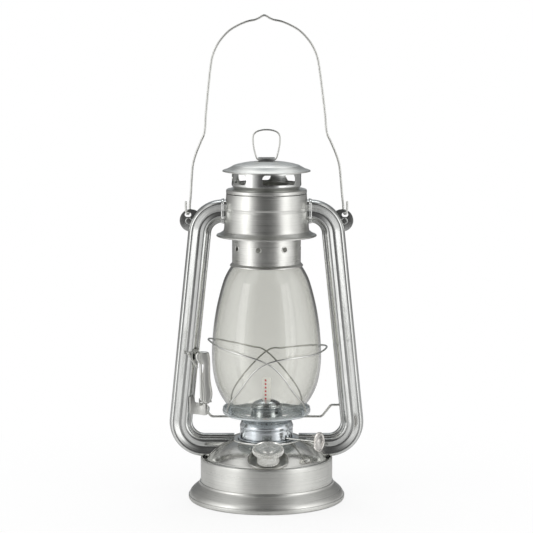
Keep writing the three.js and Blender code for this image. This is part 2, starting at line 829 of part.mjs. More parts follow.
// A cutter for one oval crown slot: rounded ends, wrapped round the crown
function crownSlotCutter(middle) {
  const inR = crownNeckR - overrun;
  const outR = crownR + overrun;
  const midZ = crownZ + crownNeckH + crownSlotUp + crownSlotH / 2;
  const roundSpan = crownSlotH / 2 / crownR;
  const turns = Array.from({ length: slotSteps + 5 }, (_, i) => {
    const half = crownSlotSpan / 2;
    const ends = [0, roundSpan * slotBendShare, roundSpan];
    const flat = half - roundSpan;
    if (i < 3) return -half + ends[i];
    if (i > slotSteps + 1) return half - ends[slotSteps + 4 - i];
    return -flat + ((i - 2) * 2 * flat) / slotSteps;
  });
  const halfHeight = (turn) => {
    const past = Math.max(Math.abs(turn) - (crownSlotSpan / 2 - roundSpan), 0) / roundSpan;
    return (crownSlotH / 2) * Math.sqrt(Math.max(1 - past * past, slotTipShare));
  };
  const corners = turns.flatMap((turn) => [[inR, -1], [outR, -1], [outR, 1], [inR, 1]].map(([r, side]) => [
    r * Math.cos(middle + turn), r * Math.sin(middle + turn), midZ + side * halfHeight(turn),
  ]));
  const faces = [];
  for (let i = 0; i < turns.length - 1; i += 1) {
    for (let k = 0; k < 4; k += 1) {
      const a = i * 4 + k;
      const b = i * 4 + ((k + 1) % 4);
      faces.push(a, b, b + 4, a, b + 4, a + 4);
    }
  }
  const last = (turns.length - 1) * 4;
  faces.push(0, 2, 1, 0, 3, 2, last, last + 1, last + 2, last, last + 2, last + 3);
  const geometry = new THREE.BufferGeometry();
  geometry.setAttribute('position', new THREE.BufferAttribute(new Float32Array(corners.flat()), 3));
  geometry.setIndex(faces);
  return geometry;
}

// The crown under the cap: a short drum with four oval smoke slots
function crown() {
  const line = [
    [crownNeckR, crownZ],
    [crownNeckR, crownZ + crownNeckH],
    [crownR, crownZ + crownNeckH + crownFlareH],
    [crownR, crownTopZ],
  ];
  const shell = turned(wallOutline(line, -sheet), bigTurns);
  const slots = Array.from({ length: crownSlots }, (_, i) => {
    const middle = -Math.PI / 2 + crownSlotMid + (i * 2 * Math.PI) / crownSlots;
    return crownSlotCutter(middle);
  });
  return cut(shell, ...slots);
}

function canopyCap() {
  const midR = canopyBreakR + (canopyR - canopyBreakR) * canopyMidShare;
  const midZ = canopyBreakZ + (canopyTipZ - canopyBreakZ) * canopyMidShare - canopySag;
  const top = [
    [0, canopyTopZ], [canopyFlatR, canopyTopZ - sheet / 3],
    [(canopyFlatR + canopyBreakR) / 2, canopyTopZ - canopyCrownH * canopyArchShare],
    [canopyBreakR, canopyBreakZ], [midR, midZ], [canopyR, canopyTipZ], [canopyR, canopyTipZ - canopyLipH],
  ];
  const under = top.slice(0, -2).map(([r, z]) => [r, z - sheet]);
  return turned([...top, [canopyR - sheet, canopyTipZ - canopyLipH], ...under.reverse()], bigTurns);
}

// The strap that holds the lifting ring down on the cap: two feet and a hump over the ring's wire
function capStrap() {
  const footZ = canopyTopZ + fit;
  const humpR = ringWireR + fit;
  const shape = new THREE.Shape();
  const step = ringZ - footZ;
  shape.moveTo(-strapL / 2, 0);
  shape.lineTo(-humpR, 0);
  shape.lineTo(-humpR, step);
  shape.absarc(0, step, humpR, Math.PI, 0, true);
  shape.lineTo(humpR, 0);
  shape.lineTo(strapL / 2, 0);
  shape.lineTo(strapL / 2, sheet);
  shape.lineTo(humpR + sheet, sheet);
  shape.lineTo(humpR + sheet, step);
  shape.absarc(0, step, humpR + sheet, 0, Math.PI, false);
  shape.lineTo(-humpR - sheet, sheet);
  shape.lineTo(-strapL / 2, sheet);
  const geometry = new THREE.ExtrudeGeometry(shape, { depth: strapW, bevelEnabled: false, curveSegments: 6 });
  geometry.translate(0, 0, -strapW / 2);
  geometry.rotateX(Math.PI / 2);
  geometry.rotateZ(Math.PI / 2);
  geometry.translate(0, 0, footZ);
  return welded(geometry);
}

function liftRing() {
  const half = (sign) => [
    [sign * fit, 0, 0],
    [sign * ringBottomW / 2, 0, 0, ringBottomBend],
    [sign * ringTopW / 2, 0, ringH, ringTopBend],
  ];
  return wire(bentRoute([...half(1), ...half(-1).reverse()], 4), ringWireR);
}

function hoodShell() {
  const topZ = hoodTopZ - hoodRingH - fit;
  const skirtZ = hoodBottomZ - hoodSkirtH;
  const line = [
    [hoodSkirtR, skirtZ],
    [hoodSkirtR - hoodRimW, skirtZ + hoodRimW / 2],
    [(hoodSkirtR + hoodBottomR * 2) / 3, hoodBottomZ - hoodSkirtH * hoodSkirtShares[0]],
    [hoodBottomR + sheet, hoodBottomZ - hoodSkirtH * hoodSkirtShares[1]],
    [hoodBottomR, hoodBottomZ + sheet * 2],
    [hoodWallR(hoodGrooveZ - hoodGrooveH), hoodGrooveZ - hoodGrooveH],
    [hoodWallR(hoodGrooveZ) - hoodGrooveDip, hoodGrooveZ],
    [hoodWallR(hoodGrooveZ + hoodGrooveH), hoodGrooveZ + hoodGrooveH],
    [hoodTopR, topZ],
  ];
  const shell = turned(wallOutline(line, -sheet), bigTurns);
  const ports = [-1, 1].map((side) => swept(tubeShape(-sheet - fit),
    [0, 1].map((step) => new THREE.Vector3(side * (chimneyR + step * (hoodSkirtR - chimneyR)), 0, tubeTopZ))));
  return cut(shell, ...ports);
}

function hoodWallR(z) {
  return hoodBottomR + ((z - hoodBottomZ) * (hoodTopR - hoodBottomR)) / (hoodTopZ - hoodBottomZ);
}

function hoodRing() {
  const footZ = hoodTopZ - hoodRingH;
  return turned([
    [hoodRingInnerR, hoodTopZ], [hoodTopR - hoodRingRound, hoodTopZ],
    [hoodTopR - hoodRingRound * (1 - Math.SQRT1_2), hoodTopZ - hoodRingRound * (1 - Math.SQRT1_2)],
    [hoodTopR, hoodTopZ - hoodRingRound], [hoodTopR, footZ], [hoodTopR - sheet, footZ],
    [hoodTopR - sheet, hoodTopZ - hoodRingRound], [hoodTopR - hoodRingRound, hoodTopZ - sheet],
    [hoodRingInnerR, hoodTopZ - sheet],
  ], bigTurns);
}

// The double-barrelled tube section, grown outwards by a margin: two lobes with a shallow valley between
function tubeOutline(margin) {
  return Array.from({ length: tubePoints }, (_, i) => {
    const turn = (i * 2 * Math.PI) / tubePoints;
    const valley = tubeValleyShare * Math.exp(-((Math.cos(turn) / tubeValleyWideShare) ** 2));
    const halfD = (tubeD / 2 + margin) * tubeSwellShare * (1 - valley);
    return new THREE.Vector2((tubeW / 2 + margin) * Math.cos(turn), halfD * Math.sin(turn));
  });
}

function tubeShape(margin) {
  return new THREE.Shape(tubeOutline(margin));
}

// The tube's middle line in the XZ plane: two bends joined by their common tangent
function tubeRoute(side, startX, endX) {
  const top = new THREE.Vector2(tubeTopBendX, tubeTopZ - tubeTopBend);
  const low = new THREE.Vector2(tubeLowBendX, tubeLowZ + tubeLowBend);
  const lean = tubeLean();
  const arc = (centre, radius, from, to) => Array.from({ length: tubeBendSteps + 1 }, (_, i) => {
    const turn = from + ((to - from) * i) / tubeBendSteps;
    return [centre.x + radius * Math.cos(turn), centre.y + radius * Math.sin(turn)];
  });
  const points = [
    [startX, tubeTopZ],
    ...arc(top, tubeTopBend, Math.PI / 2, lean),
    ...arc(low, tubeLowBend, lean, -Math.PI / 2),
    [endX, tubeLowZ],
  ];
  return points.map(([x, z]) => new THREE.Vector3(side * x, 0, z));
}

function tubeLean() {
  const across = tubeLowBendX - tubeTopBendX;
  const down = tubeTopZ - tubeTopBend - tubeLowZ - tubeLowBend;
  return Math.atan2(across, down) + Math.asin((tubeLowBend - tubeTopBend) / Math.hypot(across, down));
}

// Where the straight leg's inner edge lies at a height
function tubeInnerX(z) {
  const lean = tubeLean();
  const footX = tubeLowBendX + tubeLowBend * Math.cos(lean);
  const footZ = tubeLowZ + tubeLowBend + tubeLowBend * Math.sin(lean);
  return footX - (z - footZ) * Math.tan(lean) - tubeW / 2 / Math.cos(lean);
}

function tubeSolid(side, margin) {
  return swept(tubeShape(margin), tubeRoute(side, chimneyR, domeTopR - overrun));
}

function sideTube(side) {
  const shape = tubeShape(0);
  shape.holes.push(new THREE.Path(tubeOutline(-sheet).reverse()));
  const pipe = swept(shape, tubeRoute(side, chimneyR, domeTopR - overrun));
  const plugR = hoodWallR(tubeTopZ - tubeW / 2) + fit;
  const hoodPlug = disc(plugR, tubeTopZ - tubeW, tubeTopZ + tubeW, bigTurns * 2);
  const slotX = side * tubeInnerX(liftWireZ + liftWireRise);
  const reach = side * (liftWireReach + slotExtra * 2);
  const slot = block(
    [Math.min(slotX - reach, slotX + reach), -slotW / 2, liftWireZ + liftWireRise - liftWireR - slotExtra],
    [Math.max(slotX - reach, slotX + reach), slotW / 2, liftWireZ + liftWireRise + lift + liftWireR + slotExtra],
  );
  const flangePlug = disc(flangeR + fit, flangeZ - overrun, tubeLowZ + tubeW, bigTurns);
  return cut(pipe, hoodPlug, flangePlug, fountSolid(fit), slot);
}

// The short sleeve round the tube's upper end, against the hood
function upperCollar(side) {
  const wallX = hoodWallR(tubeTopZ - tubeW / 2) + fit;
  const stations = [0, 1].map((step) => new THREE.Vector3(
    side * (chimneyR + step * (wallX + upperCollarL - chimneyR)), 0, tubeTopZ));
  const shape = tubeShape(fit + upperCollarT);
  shape.holes.push(new THREE.Path(tubeOutline(fit).reverse()));
  const hoodPlug = disc(wallX, tubeTopZ - tubeW, tubeTopZ + tubeW, bigTurns * 2);
  return cut(swept(shape, stations), hoodPlug);
}

// The saddle flange where the tube's lower end is fixed to the dome
function lowerSaddle(side, half) {
  const stations = [domeTopR - overrun, tankR + overrun].map((x) => new THREE.Vector3(side * x, 0, tubeLowZ));
  const plug = swept(tubeShape(fit + saddleLip), stations);
  const skin = cut(fountSolid(fit + sheet), fountSolid(fit));
  const nearX = side * (flangeR + fit);
  const farX = side * (tankR - shoulderRound);
  const cheeks = block(
    [Math.min(nearX, farX), Math.min(0, half * tubeD), domeFootZ + fit + sheet],
    [Math.max(nearX, farX), Math.max(0, half * tubeD), flangeZ - fit],
  );
  const saddle = cut(common(common(plug, skin), cheeks), tubeSolid(side, fit));
  return largestPiece(saddle);
}

// Keeps the largest of the separate pieces that a cut leaves
function largestPiece(geometry) {
  const pieces = toSolid(geometry).decompose();
  pieces.sort((one, other) => other.volume() - one.volume());
  return toGeometry(pieces[0]);
}

function bailEar(side) {
  const plate = disc(earR, -earT / 2, earT / 2, midTurns);
  plate.rotateX(Math.PI / 2);
  plate.translate(side * earX, 0, earZ);
  const hole = disc(earHoleR, -earT, earT, smallTurns);
  hole.rotateX(Math.PI / 2);
  hole.translate(side * earHoleX, 0, earHoleZ);
  return largestPiece(cut(plate, hole, tubeSolid(side, fit)));
}

// The bail, in its own frame with the pivot at the origin: each eye goes through the ear's hole and turns
// round the ear's edge, then come the leg, the arch, the hanging notch, and the other side
function bailWire() {
  const eye = Array.from({ length: bailEyeSteps + 1 }, (_, i) => {
    const turn = (i * Math.PI) / bailEyeSteps;
    return [bailPivotX, -bailEyeR * Math.cos(turn), -bailEyeR * Math.sin(turn)];
  });
  const arch = Array.from({ length: bailArchSteps }, (_, i) => {
    const turn = bailArchFrom + ((bailArchTo - bailArchFrom) * i) / (bailArchSteps - 1);
    return [bailArchR * Math.cos(turn), 0, bailArchH + bailArchR * Math.sin(turn)];
  });
  const half = [
    [bailPivotX, -bailEyeR, bailTailH],
    ...eye,
    [bailPivotX, bailEyeR, bailEyeR, bailEyeR],
    [bailPivotX, 0, bailEyeH, bailEyeR],
    [bailElbowX, 0, bailElbowH, bailElbowBend],
    [bailKneeX, 0, bailKneeH, bailKneeBend],
    ...arch,
    [bailNotchX, 0, bailArchH + bailArchR - bailNotchBend / 2, bailNotchBend],
  ];
  const mirrored = half.map(([x, y, z, bend]) => [-x, y, z, bend]).reverse();
  return wire(bentRoute([...half, [0, 0, bailPeakH, bailNotchBend], ...mirrored], 2), bailWireR);
}

function leverOutline() {
  return leverOutlineShares.map(([across, up]) => [across * leverTipW, up * leverH]);
}

// The outline of the lever moved inwards by a wall
function insetOutline(outline, wall) {
  return outline.map((point, i) => {
    const before = outline[(i + outline.length - 1) % outline.length];
    const after = outline[(i + 1) % outline.length];
    const along = new THREE.Vector2(after[0] - before[0], after[1] - before[1]).normalize();
    return [point[0] + along.y * wall, point[1] - along.x * wall];
  });
}

function outlineShape(points) {
  return new THREE.Shape(points.map(([x, z]) => new THREE.Vector2(x, z)));
}

// The lift lever: a spoon-shaped channel, open at the back, with a thumb hook at its top
function liftLever() {
  const slab = (points, depth, y) => {
    const geometry = new THREE.ExtrudeGeometry(outlineShape(points), { depth, bevelEnabled: false });
    geometry.rotateX(Math.PI / 2);
    geometry.translate(0, y + depth, 0);
    return geometry;
  };
  const outer = slab(leverOutline(), leverD, -leverD / 2);
  const inner = slab(insetOutline(leverOutline(), leverT), leverD, -leverD / 2 + leverT);
  const [cutFrom, cutTo] = leverFootCut;
  const foot = block([cutFrom, -leverD / 2 + leverT, -overrun], [cutTo, overrun, leverT * 2]);
  const pinHole = disc(leverPinHole(), -overrun * 2, overrun * 2, smallTurns / 2);
  pinHole.rotateY(Math.PI / 2);
  pinHole.translate(0, leverPinY, leverPinUp());
  return cut(outer, inner, foot, pinHole);
}

function leverPinHole() {
  return leverPinR + fit;
}

function leverPinUp() {
  return leverPinR * 2;
}

function leverPin() {
  const [farX] = leverOutline().at(-2);
  const geometry = disc(leverPinR, bracketEarX - leverPinOver, farX + leverPinOver, smallTurns / 2);
  geometry.rotateY(Math.PI / 2);
  return geometry;
}

// The bracket on the tube: a strip, an arm and the ear that carries the lever's pin
function leverBracket() {
  const back = bracketY + bracketT / 2;
  const front = bracketY - bracketT / 2;
  const earX = leverX + bracketEarX;
  const pinY = leverY + leverPinY;
  const strip = block([bracketX, front, bracketArmZ], [bracketX + bracketStripW, back, bracketTopZ]);
  const arm = block([bracketX, front, bracketArmZ], [bracketX + bracketArmL, back, bracketArmZ + bracketArmH]);
  const ear = block([earX, pinY - bracketEarR, bracketArmZ + bracketArmH / 2],
    [earX + bracketEarT, back, leverFootZ + leverPinUp() + bracketEarR]);
  const pinHole = disc(leverPinR + fit, -bracketEarT * 2, bracketEarT * 2, smallTurns / 2);
  pinHole.rotateY(Math.PI / 2);
  pinHole.translate(earX, pinY, leverFootZ + leverPinUp());
  return cut(join(strip, arm, ear), pinHole);
}

function leverCatch() {
  const corners = [
    [bracketX, catchY, catchTopZ],
    [catchFootX, catchY, catchFootZ, catchBend],
    [catchHookX, catchY, catchFootZ + catchHookH],
  ];
  return wire(bentRoute(corners, 3), catchWireR);
}

// The scene graph
function piece(parent, name, geometry, material) {
  const mesh = new THREE.Mesh(geometry, material);
  mesh.name = name;
  parent.add(mesh);
  return mesh;
}

function carrier(parent, x, y, z) {
  const group = new THREE.Group();
  group.position.set(x, y, z);
  parent.add(group);
  return group;
}

const lantern = new THREE.Group();

piece(lantern, 'fount_shell', fountShell(), satinTin);
piece(lantern, 'foot_skirt', footSkirt(), satinTin);
piece(lantern, 'fount_bottom', fountBottom(), satinTin);
piece(lantern, 'filler_well', fillerWell(), satinTin);
piece(lantern, 'burner_flange', burnerFlange(), blueZinc);
piece(lantern, 'burner_body', burnerBody(), blueZinc);
piece(lantern, 'burner_cone', burnerCone(), blueZinc);
piece(lantern, 'hood_shell', hoodShell(), satinTin);
piece(lantern, 'hood_ring', hoodRing(), satinTin);
for (const [name, side] of [['left', -1], ['right', 1]]) {
  piece(lantern, `${name}_tube`, sideTube(side), brightTin);
  piece(lantern, `${name}_upper_collar`, upperCollar(side), brightTin);
  piece(lantern, `${name}_front_saddle`, lowerSaddle(side, -1), satinTin);
  piece(lantern, `${name}_back_saddle`, lowerSaddle(side, 1), satinTin);
  piece(lantern, `${name}_bail_ear`, bailEar(side), brightTin);
}
piece(lantern, 'lever_bracket', leverBracket(), brightTin);
piece(lantern, 'lever_catch', leverCatch(), steelWire);
piece(lantern, 'canopy_spring', canopySpring(), steelWire);

const filler = carrier(lantern, fillerX, fillerY, fillerZ);
filler.rotation.x = fillerTilt;
piece(filler, 'cap_gasket', capGasket(), rubber);
piece(filler, 'filler_cap', fillerCap(), palePlated);

const drive = carrier(lantern, 0, 0, 0);
drive.rotation.z = driveTurn;
piece(drive, 'wick_tube', wickTube(), blueZinc);
piece(drive, 'wick', block([-wickW / 2, -wickT / 2, wickFootZ], [wickW / 2, wickT / 2, wickTopZ]), cotton);
const axle = carrier(drive, 0, -spindleOff, spindleZ);
piece(axle, 'wick_spindle', wickSpindle(), steelWire);
piece(axle, 'wick_knob', wickKnob(), palePlated).position.x = knobAt;
for (const [name, side] of [['inner', -1], ['outer', 1]]) {
  const toothed = wheel(toothedShape(sprocketTipR(), sprocketToothH, sprocketTeeth), spindleR + fit, sprocketT);
  piece(axle, `${name}_sprocket`, toothed, steelWire).position.x = (side * sprocketApart) / 2;
}

piece(lantern, 'globe_plate', globePlate(), blueZinc);
piece(lantern, 'globe', globeGlass(), clearGlass);
piece(lantern, 'lift_wire', liftWire(), steelWire);
piece(lantern, 'guard_wire_left', guardWire(guardTipZ[0], 0), steelWire);
piece(lantern, 'guard_wire_right', guardWire(guardTipZ[1], guardWireApart), steelWire).rotation.z = Math.PI;

piece(lantern, 'globe_collar', globeCollar(), satinTin);
piece(lantern, 'chimney', chimney(), satinTin);
piece(lantern, 'crown', crown(), brightTin);
piece(lantern, 'canopy_cap', canopyCap(), satinTin);
piece(lantern, 'cap_strap', capStrap(), brightTin);
piece(carrier(lantern, 0, 0, ringZ), 'lift_ring', liftRing(), steelWire);

piece(carrier(lantern, 0, 0, bailPivotZ), 'bail', bailWire(), steelWire);

const lever = carrier(lantern, leverX, leverY, leverFootZ);
piece(lever, 'lift_lever', liftLever(), brightTin);
piece(carrier(lever, 0, leverPinY, leverPinUp()), 'lever_pin', leverPin(), steelWire);

export default lantern;
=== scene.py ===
# %% [markdown]
# # A tubular oil lantern
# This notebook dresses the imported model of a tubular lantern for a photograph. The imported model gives
# the moving bodies and a coarse solid for every part. Nearly every piece here is a finer surface that
# stands in for its solid. Only the four small saddles, which hold the tubes to the dome, stay as packed
# and get a better finish.

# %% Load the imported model
import json
import math

import bmesh
import bpy
import numpy as np
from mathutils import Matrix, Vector

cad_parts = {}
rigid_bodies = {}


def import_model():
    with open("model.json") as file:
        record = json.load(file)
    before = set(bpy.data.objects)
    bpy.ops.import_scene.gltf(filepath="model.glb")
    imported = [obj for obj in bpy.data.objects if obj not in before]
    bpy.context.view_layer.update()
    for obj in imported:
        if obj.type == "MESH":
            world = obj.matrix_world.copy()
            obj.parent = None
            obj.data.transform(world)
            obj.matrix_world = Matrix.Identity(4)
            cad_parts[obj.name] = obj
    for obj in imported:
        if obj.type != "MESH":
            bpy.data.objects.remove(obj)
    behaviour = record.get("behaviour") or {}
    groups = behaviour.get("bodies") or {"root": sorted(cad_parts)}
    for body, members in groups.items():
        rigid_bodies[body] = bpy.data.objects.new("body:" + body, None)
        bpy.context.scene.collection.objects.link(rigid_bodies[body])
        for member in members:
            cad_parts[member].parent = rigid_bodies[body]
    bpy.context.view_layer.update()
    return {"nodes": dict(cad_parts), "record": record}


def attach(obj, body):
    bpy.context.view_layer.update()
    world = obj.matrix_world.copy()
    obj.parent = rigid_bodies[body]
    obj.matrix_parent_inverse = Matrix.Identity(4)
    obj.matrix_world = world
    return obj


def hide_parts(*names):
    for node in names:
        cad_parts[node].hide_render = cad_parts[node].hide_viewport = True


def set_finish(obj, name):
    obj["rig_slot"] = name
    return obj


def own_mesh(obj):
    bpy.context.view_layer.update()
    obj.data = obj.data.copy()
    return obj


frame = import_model()
MM = 0.001

# %% [markdown]
# ## Tools for sheet metal
# The lantern is spun, pressed and bent from thin sheet and wire. The Screw modifier and curve objects
# could make such forms, but a grid of points is easier to steer: a spun piece is a profile turned about
# the axis, and a bent piece is a section carried along a path. So one function turns a grid of points
# into a mesh, and the others only work out grids. Lengths are in millimetres until the mesh is made.

# %% A grid of points as a mesh
# Corners nearer to each other than this are one.
WELD = 0.0005 * MM


def in_scene(name, data):
    """A new object with this data, linked to the scene."""
    made = bpy.data.objects.new(name, data)
    bpy.context.scene.collection.objects.link(made)
    return made


def grid_faces(rows, columns, close_rows):
    """Four-cornered faces of a grid: corner (i, j) joins (i+1, j), (i+1, j+1) and (i, j+1)."""
    i = np.arange(rows if close_rows else rows - 1)[:, None]
    j = np.arange(columns)[None, :]
    below = (i + 1) % rows
    beside = (j + 1) % columns
    corners = [i * columns + j, below * columns + j, below * columns + beside, i * columns + beside]
    return np.stack(corners, axis=-1).reshape(-1, 4)


def finish_mesh(mesh, crease):
    """Merges doubled corners, points the faces outwards and keeps edges sharper than crease degrees."""
    work = bmesh.new()
    work.from_mesh(mesh)
    bmesh.ops.remove_doubles(work, verts=work.verts, dist=WELD)
    bmesh.ops.dissolve_degenerate(work, edges=work.edges, dist=WELD)
    bmesh.ops.recalc_face_normals(work, faces=work.faces)
    work.to_mesh(mesh)
    work.free()
    mesh.polygons.foreach_set("use_smooth", np.ones(len(mesh.polygons), bool))
    mesh.set_sharp_from_angle(angle=math.radians(crease))
    return mesh


def surface(name, points, ends=False, crease=32, flow=None):
    """A mesh from a grid of points (rows, columns, 3) in millimetres, closed from last column to first.

    The last row joins the first too, unless ends puts a face over each of them. flow is a grid of (u, v)
    lengths in millimetres along the surface, kept as the piece's UV map.
    """
    rows, columns = points.shape[:2]
    faces = grid_faces(rows, columns, not ends)
    mesh = bpy.data.meshes.new(name)
    caps = [np.arange(columns)[::-1].tolist(), (np.arange(columns) + (rows - 1) * columns).tolist()]
    mesh.from_pydata(points.reshape(-1, 3) * MM, [], faces.tolist() + (caps if ends else []))
    if flow is not None:
        corner_of = np.empty(len(mesh.loops), np.int32)
        mesh.loops.foreach_get("vertex_index", corner_of)
        layer = mesh.uv_layers.new(name="flow")
        layer.data.foreach_set("uv", flow.reshape(-1, 2)[corner_of].astype(np.float32).ravel())
    return in_scene(name, finish_mesh(mesh, crease))


print("an open grid of 4 by 6 points has", len(grid_faces(4, 6, False)), "faces")

# %% Rounded corners
# A corner whose half angle is over this is straight, and stays as it is.
STRAIGHT = math.radians(89.5)


def unit(v):
    """Vectors of length one: v / |v|."""
    return v / np.linalg.norm(v, axis=-1, keepdims=True)


def bent(corners, steps=8):
    """A line through corners (x, y, ..., bend radius), each corner swapped for an arc of its radius.

    The arc's centre lies on the line that halves the corner, at radius / sin(half the corner angle), and
    the arc turns evenly from one leg to the other.
    """
    spots = np.array([corner[:-1] for corner in corners], float)
    line = [spots[:1]]
    for i in range(1, len(corners) - 1):
        radius = corners[i][-1]
        back, ahead = unit(spots[i - 1] - spots[i]), unit(spots[i + 1] - spots[i])
        half = math.acos(float(np.clip(back @ ahead, -1, 1))) / 2
        if radius == 0 or half > STRAIGHT:
            line.append(spots[i : i + 1])
            continue
        reach = radius / math.tan(half)
        centre = spots[i] + unit(back + ahead) * radius / math.sin(half)
        start, end = spots[i] + back * reach - centre, spots[i] + ahead * reach - centre
        turn = math.pi - 2 * half
        t = np.linspace(0, 1, steps)[:, None]
        line.append(centre + (np.sin((1 - t) * turn) * start + np.sin(t * turn) * end) / math.sin(turn))
    return np.concatenate(line + [spots[-1:]])


print("a corner rounded by 2 mm has", len(bent([(0, 0, 0), (9, 0, 2), (9, 9, 0)])) - 2, "points")


# %% Smooth, even and walled lines
def run_of(line):
    """How far along the line each of its points is: the sum of the steps before it."""
    return np.concatenate([[0], np.cumsum(np.linalg.norm(np.diff(line, axis=0), axis=1))])


def evenly(line, count):
    """The same line with count points at equal distances along it."""
    along = run_of(line)
    at = np.linspace(0, along[-1], count)
    return np.stack([np.interp(at, along, line[:, k]) for k in range(line.shape[1])], axis=1)


def curve(spots, count):
    """A smooth line through the spots (Catmull-Rom), with count points evenly spaced along it.

    From b to c it is (2b + (c - a)t + (2a - 5b + 4c - d)t^2 + (3b - a - 3c + d)t^3) / 2, where a and d
    are the spots before and after.
    """
    p = np.array(spots, float)
    p = np.concatenate([2 * p[:1] - p[1:2], p, 2 * p[-1:] - p[-2:-1]])
    t = np.linspace(0, 1, 24, endpoint=False)[None, :, None]
    a, b, c, d = (p[i : len(p) - 3 + i][:, None] for i in range(4))
    dense = 2 * b + (c - a) * t + (2 * a - 5 * b + 4 * c - d) * t**2 + (3 * b - a - 3 * c + d) * t**3
    return evenly(np.concatenate([0.5 * dense.reshape(-1, p.shape[1]), p[-2:-1]]), count)


def refined(line, longest):
    """The same line with extra points on stretches longer than longest, so that cuts stay clean."""
    out = [line[:1]]
    for a, b in zip(line[:-1], line[1:]):
        count = max(1, math.ceil(float(np.linalg.norm(b - a)) / longest))
        out.append(a + (b - a) * (np.arange(1, count + 1) / count)[:, None])
    return np.concatenate(out)


def walled(line, wall):
    """A closed profile from an open line: the line, then back along its copy moved sideways by wall."""
    along = unit(np.gradient(line, axis=0))
    side = np.stack([-along[:, 1], along[:, 0]], axis=1)
    moved = line + side * wall
    moved[:, 0] = np.maximum(moved[:, 0], 0)
    return np.concatenate([line, moved[::-1]])


arch = curve([(-1, 0), (0, 1), (1, 0)], 50)
print("a smooth arch through three spots is", round(float(run_of(arch)[-1]), 2), "mm long")

# %% Spun pieces and swept pieces
# How much of a wire's radius is left at the very tip, so that its faces keep some size.
WIRE_TIP_SHARE = 0.02


def even_turns(count):
    """Angles at equal steps round a full turn."""
    return np.arange(count) * 2 * math.pi / count


def polar(radius, turn, height):
    """Points about the lantern's axis: (radius * cos turn, radius * sin turn, height)."""
    return np.stack(np.broadcast_arrays(radius * np.cos(turn), radius * np.sin(turn), height), axis=-1)


def spun(name, profile, turns=160, crease=32):
    """A profile of (r, z) turned about the lantern's axis: x = r cos t, y = r sin t."""
    return surface(name, polar(profile[:, :1], even_turns(turns), profile[:, 1:]), crease=crease)


def carried(path, section, side=(0, 0, 1)):
    """A section of (a, b) points carried along a path without twisting: path + a * normal + b * binormal.

    Each normal is the last one, less its part along the new direction. side is the first one.
    """
    along = unit(np.gradient(path, axis=0))
    normal = np.array(side, float)
    normals = np.empty_like(path)
    for i, direction in enumerate(along):
        normal = unit(normal - direction * (normal @ direction))
        normals[i] = normal
    across = np.cross(along, normals)
    return path[:, None] + section[None, :, :1] * normals[:, None] + section[None, :, 1:] * across[:, None]


def ring_section(radius, sides):
    """A round section: (radius cos t, radius sin t)."""
    t = even_turns(sides)
    return np.stack([radius * np.cos(t), radius * np.sin(t)], axis=1)


def flow_grid(around, along):
    """A grid of (u, v): millimetres round the section, and along the path."""
    return np.stack(np.broadcast_arrays(around[None, :], along[:, None]), axis=-1)


def wire(name, path, radius, sides=18, side=(0, 0, 1)):
    """A round wire along a path, its ends domed: the radius there shrinks as the quarter of a circle."""
    quarter = np.linspace(0, 1, 6) * math.pi / 2
    first, last = unit(path[1] - path[0]), unit(path[-1] - path[-2])
    head = path[0] - first * radius * np.cos(quarter)[:, None]
    tail = path[-1] + last * radius * np.sin(quarter)[:, None]
    size = np.concatenate([np.sin(quarter), np.ones(len(path) - 2), np.cos(quarter)])
    size = np.maximum(size, WIRE_TIP_SHARE)
    path = np.concatenate([head, path[1:-1], tail])
    points = carried(path, ring_section(1, sides), side)
    points = path[:, None] + (points - path[:, None]) * (radius * size)[:, None, None]
    around = np.linspace(0, 2 * math.pi * radius, sides, endpoint=False)
    flow = flow_grid(around, run_of(path))
    return surface(name, points, ends=True, flow=flow, crease=60)


print("helpers: even_turns, polar, spun, carried, ring_section, flow_grid, wire")


# %% Cutting and joining
def applied(piece):
    """Writes the piece's modifiers into its mesh."""
    shown = piece.evaluated_get(bpy.context.evaluated_depsgraph_get())
    piece.data = bpy.data.meshes.new_from_object(shown)
    piece.modifiers.clear()
    return piece


def cut(piece, *tools, crease=32):
    """Takes the tools' solids out of the piece."""
    for tool in tools:
        step = piece.modifiers.new("cut", "BOOLEAN")
        step.operation, step.solver, step.object = "DIFFERENCE", "EXACT", tool
    applied(piece)
    for tool in tools:
        bpy.data.objects.remove(tool)
    finish_mesh(piece.data, crease)
    return piece


def merged(name, pieces):
    """Several pieces as one object, their meshes side by side."""
    work = bmesh.new()
    for piece in pieces:
        work.from_mesh(piece.data)
    mesh = bpy.data.meshes.new(name)
    work.to_mesh(mesh)
    work.free()
    for piece in pieces:
        bpy.data.objects.remove(piece)
    return in_scene(name, mesh)


print("helpers: applied, cut, merged")

# %% Flat plates and plain tools
# Edges that turn by more than this get a plate's bevel.
BEVEL_FROM = math.radians(40)


def lifted(outline, heights):
    """An outline of (a, b) points repeated at each height, as a grid."""
    return np.stack([np.concatenate([outline, np.full((len(outline), 1), z)], axis=1) for z in heights])


def plate(name, outline, low, high, place, bevel=0.0):
    """A flat outline of (a, b) points with a thickness from low to high; place maps (a, b, c) to x, y, z."""
    points = lifted(outline, (low, high))
    piece = surface(name, place(points), ends=True, crease=30)
    if bevel:
        step = piece.modifiers.new("edge", "BEVEL")
        step.width, step.segments, step.limit_method = bevel * MM, 2, "ANGLE"
        step.angle_limit = BEVEL_FROM
        applied(piece)
        finish_mesh(piece.data, 30)
    return piece


def turned_about(points, angle):
    """Points turned about the lantern's axis by an angle."""
    c, s = math.cos(angle), math.sin(angle)
    return points @ np.array([[c, s, 0], [-s, c, 0], [0, 0, 1]])


def rod_tool(radius, low, high, turns):
    """A plain rod on the lantern's axis, to cut with."""
    return spun("tool", np.array([[0, low], [radius, low], [radius, high], [0, high]]), turns)


